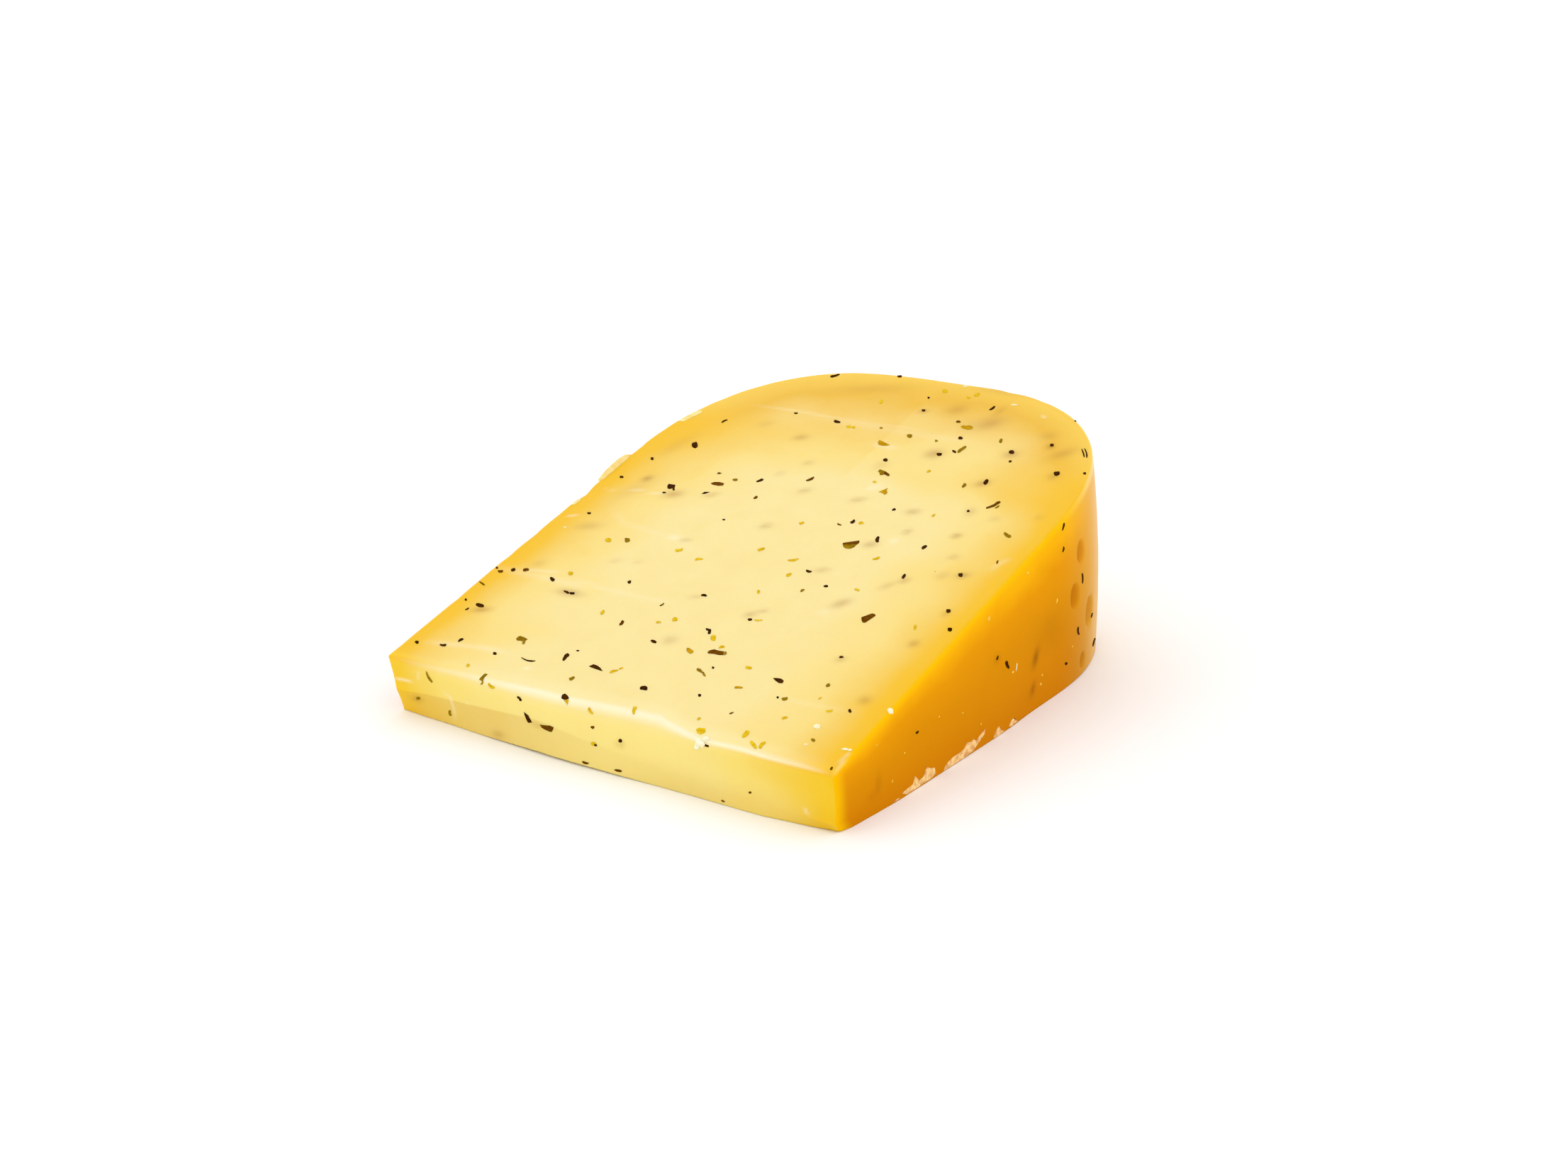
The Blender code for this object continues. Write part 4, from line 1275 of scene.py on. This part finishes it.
def fine_herbs_tree():
    """A tree that scatters small leaf fragments over a piece, lying along its surface."""
    tree = bpy.data.node_groups.new("fine herbs", "GeometryNodeTree")
    given = name_inputs(tree, {
        "Object": ("Cheese",), "Float": ("Flecks per Square Metre", "Smallest", "Largest"),
        "Int": ("Seed",), "Material": ("Leaf",)})
    cheese = add_node(tree, "GeometryNodeObjectInfo", inputs={"Object": given["Cheese"]})
    share = add_node(tree, "GeometryNodeInputNamedAttribute",
                     {"data_type": "FLOAT"}, {"Name": "herb_share"})
    density = add_node(tree, "ShaderNodeMath", {"operation": "MULTIPLY"},
                       {0: share, 1: given["Flecks per Square Metre"]})
    spots = add_node(tree, "GeometryNodeDistributePointsOnFaces", inputs={
        "Mesh": cheese.outputs["Geometry"], "Density": density, "Seed": given["Seed"]})
    leaf = add_node(tree, "GeometryNodeMeshCylinder", inputs={
        "Vertices": 7, "Radius": 0.5, "Depth": 0.35 * MM})
    spin = add_node(tree, "FunctionNodeRandomValue", {"data_type": "FLOAT"},
                    {2: 0.0, 3: 2.0 * math.pi, "Seed": given["Seed"]})
    about = add_node(tree, "ShaderNodeCombineXYZ", inputs={2: spin})
    turn = add_node(tree, "FunctionNodeEulerToRotation", inputs={0: about})
    turned = add_node(tree, "FunctionNodeRotateRotation", {"rotation_space": "LOCAL"},
                      {0: spots.outputs["Rotation"], 1: turn})
    long = add_node(tree, "FunctionNodeRandomValue", {"data_type": "FLOAT"},
                    {2: given["Smallest"], 3: given["Largest"], "Seed": given["Seed"], "ID": 0})
    slim = add_node(tree, "FunctionNodeRandomValue", {"data_type": "FLOAT"}, {2: 0.3, 3: 0.9, "Seed": 5})
    broad = add_node(tree, "ShaderNodeMath", {"operation": "MULTIPLY"}, {0: long, 1: slim})
    scale = add_node(tree, "ShaderNodeCombineXYZ", inputs={0: long, 1: broad, 2: 1.0})
    placed = add_node(tree, "GeometryNodeInstanceOnPoints", inputs={
        "Points": spots, "Instance": leaf, "Rotation": turned, "Scale": scale})
    sunk = add_node(tree, "GeometryNodeTranslateInstances", inputs={
        "Instances": placed, "Translation": (0.0, 0.0, -0.12 * MM)})
    realized = add_node(tree, "GeometryNodeRealizeInstances", inputs={0: sunk})
    coloured = add_node(tree, "GeometryNodeSetMaterial", inputs={
        "Geometry": realized, "Material": given["Leaf"]})
    add_node(tree, "NodeGroupOutput", inputs={0: coloured})
    return tree


def add_crumb(bm, place, normal, wide, high, random):
    """One uneven crumb that sits half in the surface."""
    made = bmesh.ops.create_icosphere(bm, subdivisions=2, radius=1.0)["verts"]
    _, up, _ = camera_axes()
    rise = (up - normal * up.dot(normal)).normalized()
    side = rise.cross(normal)
    proud = 0.3 * min(wide, high)
    for vertex in made:
        bump = 1.0 + random.uniform(-0.30, 0.22)
        co = vertex.co * bump
        vertex.co = place + side * (co.x * wide / 2) + rise * (co.y * high / 2) + normal * (co.z * proud)


def crumbs_piece(name, rows, surface, material):
    """All the crumbs of one kind, as one piece."""
    random = np.random.default_rng(47)
    bm = bmesh.new()
    for column, row, wide, high in rows:
        place, normal = seen_at(surface, column, row)
        pixel = seen_size(place)
        add_crumb(bm, place, normal, wide * pixel, high * pixel, random)
    make_piece(bm, name, material)


class CHEESE_OT_wedge(Operator):
    """Make the body of the wedge, with its paste and its rind"""

    bl_idname = "cheese.wedge"
    bl_label = "Wedge"

    def execute(self, context):
        sizes = context.scene.cheese_sizes
        colours = context.scene.cheese_colours
        corner_share = 0.72
        corner_radius = sizes.rim_start + corner_share * (sizes.wheel_radius - sizes.rim_start)
        mesh = run_tree(wheel_slice_tree(), "cheese_body", {
            "Cells Across": 134, "Cells Along": 166, "Cells Up": 68,
            "Axis": AXIS_Y, "Half Thickness": 0.5 * sizes.wheel_thickness,
            "Wheel Radius": sizes.wheel_radius,
            "Rim Start": sizes.rim_start, "Tip Radius": sizes.tip_radius, "Wedge Angle": sizes.wedge_angle,
            "Radial Power": sizes.radial_power, "Side Power": sizes.side_power,
            "Corner Radius": corner_radius, "Corner Half Width": half_thickness(corner_radius, sizes),
            "Edge Closeness": 0.35,
            "Paste": paste_material(colours),
            "Rind": rind_material(colours)})
        refine_dents(mesh)
        measured = shape_wedge(mesh, sizes)
        write_finish(mesh, measured)
        carve_wedge(mesh, measured)
        body = link(mesh, "cheese_body")
        # The dents' painted shade, stronger on one side of each dent, for the rind to read
        write_attribute(mesh, "dent", dent_rim(body, sizes))
        surface = surface_of(body)
        smudges = 1.15 * spread_over(body, SMUDGES, surface) + hidden_smudges(mesh)
        write_attribute(mesh, "smudge", np.clip(smudges, 0.0, 0.8))
        write_attribute(mesh, "scrape", stroke_over(body, SCRAPES + NICKS, surface))
        write_attribute(mesh, "herb_share", herb_shares(mesh, measured))
        give(body)
        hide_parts("cheese_wedge")
        return {"FINISHED"}


class CHEESE_OT_herbs(Operator):
    """Lay the herbs that the photograph shows on the cuts and on the rind"""

    bl_idname = "cheese.herbs"
    bl_label = "Herbs"

    def execute(self, context):
        colours = context.scene.cheese_colours
        settings = context.scene.cheese_herbs
        surface = surface_of(bpy.data.objects["cheese_body"])
        leaves = {
            kind: leaf_material("dried_leaf_" + kind, colour, linear(shadow))
            for kind, colour, shadow in (
                ("dark", colours.dark_herb, "#2a1000"), ("brown", colours.brown_herb, "#593000"),
                ("olive", colours.olive_herb, "#7b5c06"), ("ochre", colours.ochre_herb, "#a87c06"),
                ("gold", colours.gold_herb, "#c79a0c"))}
        for name, rows, kind in (
                ("dark_herbs", DARK_HERBS, "dark"), ("brown_herbs", BROWN_HERBS, "brown"),
                ("olive_herbs", OLIVE_HERBS, "olive"), ("ochre_herbs", OCHRE_HERBS, "ochre"),
                ("gold_herbs", GOLD_HERBS, "gold"), ("rind_herbs", RIND_HERBS, "dark")):
            flecks_piece(name, rows, surface, settings, leaves[kind])
        return {"FINISHED"}


class CHEESE_OT_fine_herbs(Operator):
    """Scatter small herbs over the underside and, thinly, over the hidden rind"""

    bl_idname = "cheese.fine_herbs"
    bl_label = "Fine herbs"

    def execute(self, context):
        tree = fine_herbs_tree()
        body = bpy.data.objects["cheese_body"]
        for name, material, density, smallest, largest, seed in (
                ("fine_dark_herbs", "dried_leaf_dark", 5200.0, 0.5, 2.0, 3),
                ("fine_olive_herbs", "dried_leaf_olive", 2600.0, 0.5, 1.8, 4),
                ("fine_gold_herbs", "dried_leaf_gold", 6500.0, 0.4, 1.4, 5)):
            mesh = run_tree(tree, name, {
                "Cheese": body, "Flecks per Square Metre": density, "Smallest": smallest * MM,
                "Largest": largest * MM, "Seed": seed, "Leaf": bpy.data.materials[material]})
            give(link(mesh, name))
        return {"FINISHED"}


class CHEESE_OT_crumbs(Operator):
    """Make the crumbs, the torn flakes of rind and the shaved slivers of paste"""

    bl_idname = "cheese.crumbs"
    bl_label = "Crumbs and flakes"

    def execute(self, context):
        surface = surface_of(bpy.data.objects["cheese_body"])
        # The torn rind's darker colour, mixed in strongly, is painted shade for ruffles that its thin
        # flakes can't have
        torn, shaved, crumb, golden = (
            crumb_material(name, linear(colour), linear(hollow_shade), cell, contrast)
            for name, colour, hollow_shade, cell, contrast in (
                ("torn_rind", "#ffd28a", "#c6802e", 1.3, 0.8),
                ("shaved_paste", "#efdc92", "#e6bb45", 2.0, 0.6),
                ("paste_crumb", "#f5edd2", "#ecd69c", 0.6, 0.6),
                ("golden_crumb", "#fbc93e", "#e8a81c", 0.6, 0.6)))
        slab_piece("torn_flakes", TORN_FLAKES, surface, 0.25 * MM, torn)
        slab_piece("shaved_slivers", SHAVED_SLIVERS, surface, 0.08 * MM, shaved)
        crumbs_piece("paste_crumbs", CRUMBS, surface, crumb)
        crumbs_piece("rind_crumbs", RIND_CRUMBS, surface, golden)
        return {"FINISHED"}


class CHEESE_OT_stage(Operator):
    """Make the plain pale floor, the soft studio light and the camera"""

    bl_idname = "cheese.stage"
    bl_label = "Stage"

    def execute(self, context):
        settings = context.scene.cheese_stage
        self.make_floor(settings)
        self.make_light(context.scene, settings)
        self.make_camera(context.scene)
        context.scene.view_settings.view_transform = "Standard"
        return {"FINISHED"}

    def make_floor(self, settings):
        """Matt white paint on a board, large enough to fill the view."""
        half_wide = 12.0
        bm = bmesh.new()
        bmesh.ops.create_grid(bm, x_segments=2, y_segments=2, size=half_wide)
        mesh = bpy.data.meshes.new("floor")
        bm.to_mesh(mesh)
        bm.free()
        material, tree, shader = new_material("white_paint_matt")
        fill(tree, shader, {
            "Base Color": (*settings.floor, 1.0), "Roughness": 0.9, "Specular IOR Level": 0.1})
        mesh.materials.append(material)
        floor = link(mesh, "floor")

    def make_light(self, scene, settings):
        """Even light from a white sky, and one large soft lamp from the front left."""
        world = bpy.data.worlds.new("white sky")
        world.use_nodes = True
        background = world.node_tree.nodes["Background"]
        background.inputs["Color"].default_value = (1.0, 1.0, 1.0, 1.0)
        background.inputs["Strength"].default_value = settings.sky_strength
        scene.world = world
        lamp = bpy.data.lights.new("key light", "SUN")
        lamp.energy = settings.key_strength
        lamp.angle = settings.key_size
        key = bpy.data.objects.new("key light", lamp)
        towards = Vector((0.53, 0.69, -0.55))
        key.rotation_mode = "QUATERNION"
        key.rotation_quaternion = towards.to_track_quat("-Z", "Y")
        scene.collection.objects.link(key)

    def make_camera(self, scene):
        """The camera, at the photograph's viewing angle."""
        lens = bpy.data.cameras.new("camera")
        lens.lens = LENS_MM
        lens.sensor_width = SENSOR_MM
        lens.clip_start = 0.01
        lens.clip_end = 60.0
        camera = bpy.data.objects.new("camera", lens)
        right, up, ahead = camera_axes()
        turn = Matrix((right, up, -ahead)).transposed()
        camera.matrix_world = Matrix.Translation(CAMERA_PLACE) @ turn.to_4x4()
        scene.collection.objects.link(camera)
        scene.camera = camera


class CHEESE_PT_panel(Panel):
    """The wedge's pieces and settings"""

    bl_idname = "CHEESE_PT_panel"
    bl_label = "Cheese wedge"
    bl_space_type = "VIEW_3D"
    bl_region_type = "UI"
    bl_category = "Cheese"

    def draw(self, context):
        scene = context.scene
        for group in (scene.cheese_sizes, scene.cheese_colours, scene.cheese_herbs, scene.cheese_stage):
            box = self.layout.box()
            for name in group.bl_rna.properties.keys():
                if name not in ("rna_type", "name"):
                    box.prop(group, name)
        for operator in OPERATORS:
            self.layout.operator(operator.bl_idname)


GROUPS = (WedgeSizes, CheeseColours, HerbSettings, StageSettings)
OPERATORS = (CHEESE_OT_wedge, CHEESE_OT_herbs, CHEESE_OT_fine_herbs, CHEESE_OT_crumbs, CHEESE_OT_stage)


def register():
    for kind in (*GROUPS, *OPERATORS, CHEESE_PT_panel):
        bpy.utils.register_class(kind)
    bpy.types.Scene.cheese_sizes = PointerProperty(type=WedgeSizes)
    bpy.types.Scene.cheese_colours = PointerProperty(type=CheeseColours)
    bpy.types.Scene.cheese_herbs = PointerProperty(type=HerbSettings)
    bpy.types.Scene.cheese_stage = PointerProperty(type=StageSettings)


def unregister():
    del bpy.types.Scene.cheese_stage
    del bpy.types.Scene.cheese_herbs
    del bpy.types.Scene.cheese_colours
    del bpy.types.Scene.cheese_sizes
    for kind in reversed((*GROUPS, *OPERATORS, CHEESE_PT_panel)):
        bpy.utils.unregister_class(kind)


def main():
    register()
    bpy.ops.cheese.wedge()
    bpy.ops.cheese.herbs()
    bpy.ops.cheese.fine_herbs()
    bpy.ops.cheese.crumbs()
    bpy.ops.cheese.stage()


if __name__ == "__main__":
    main()
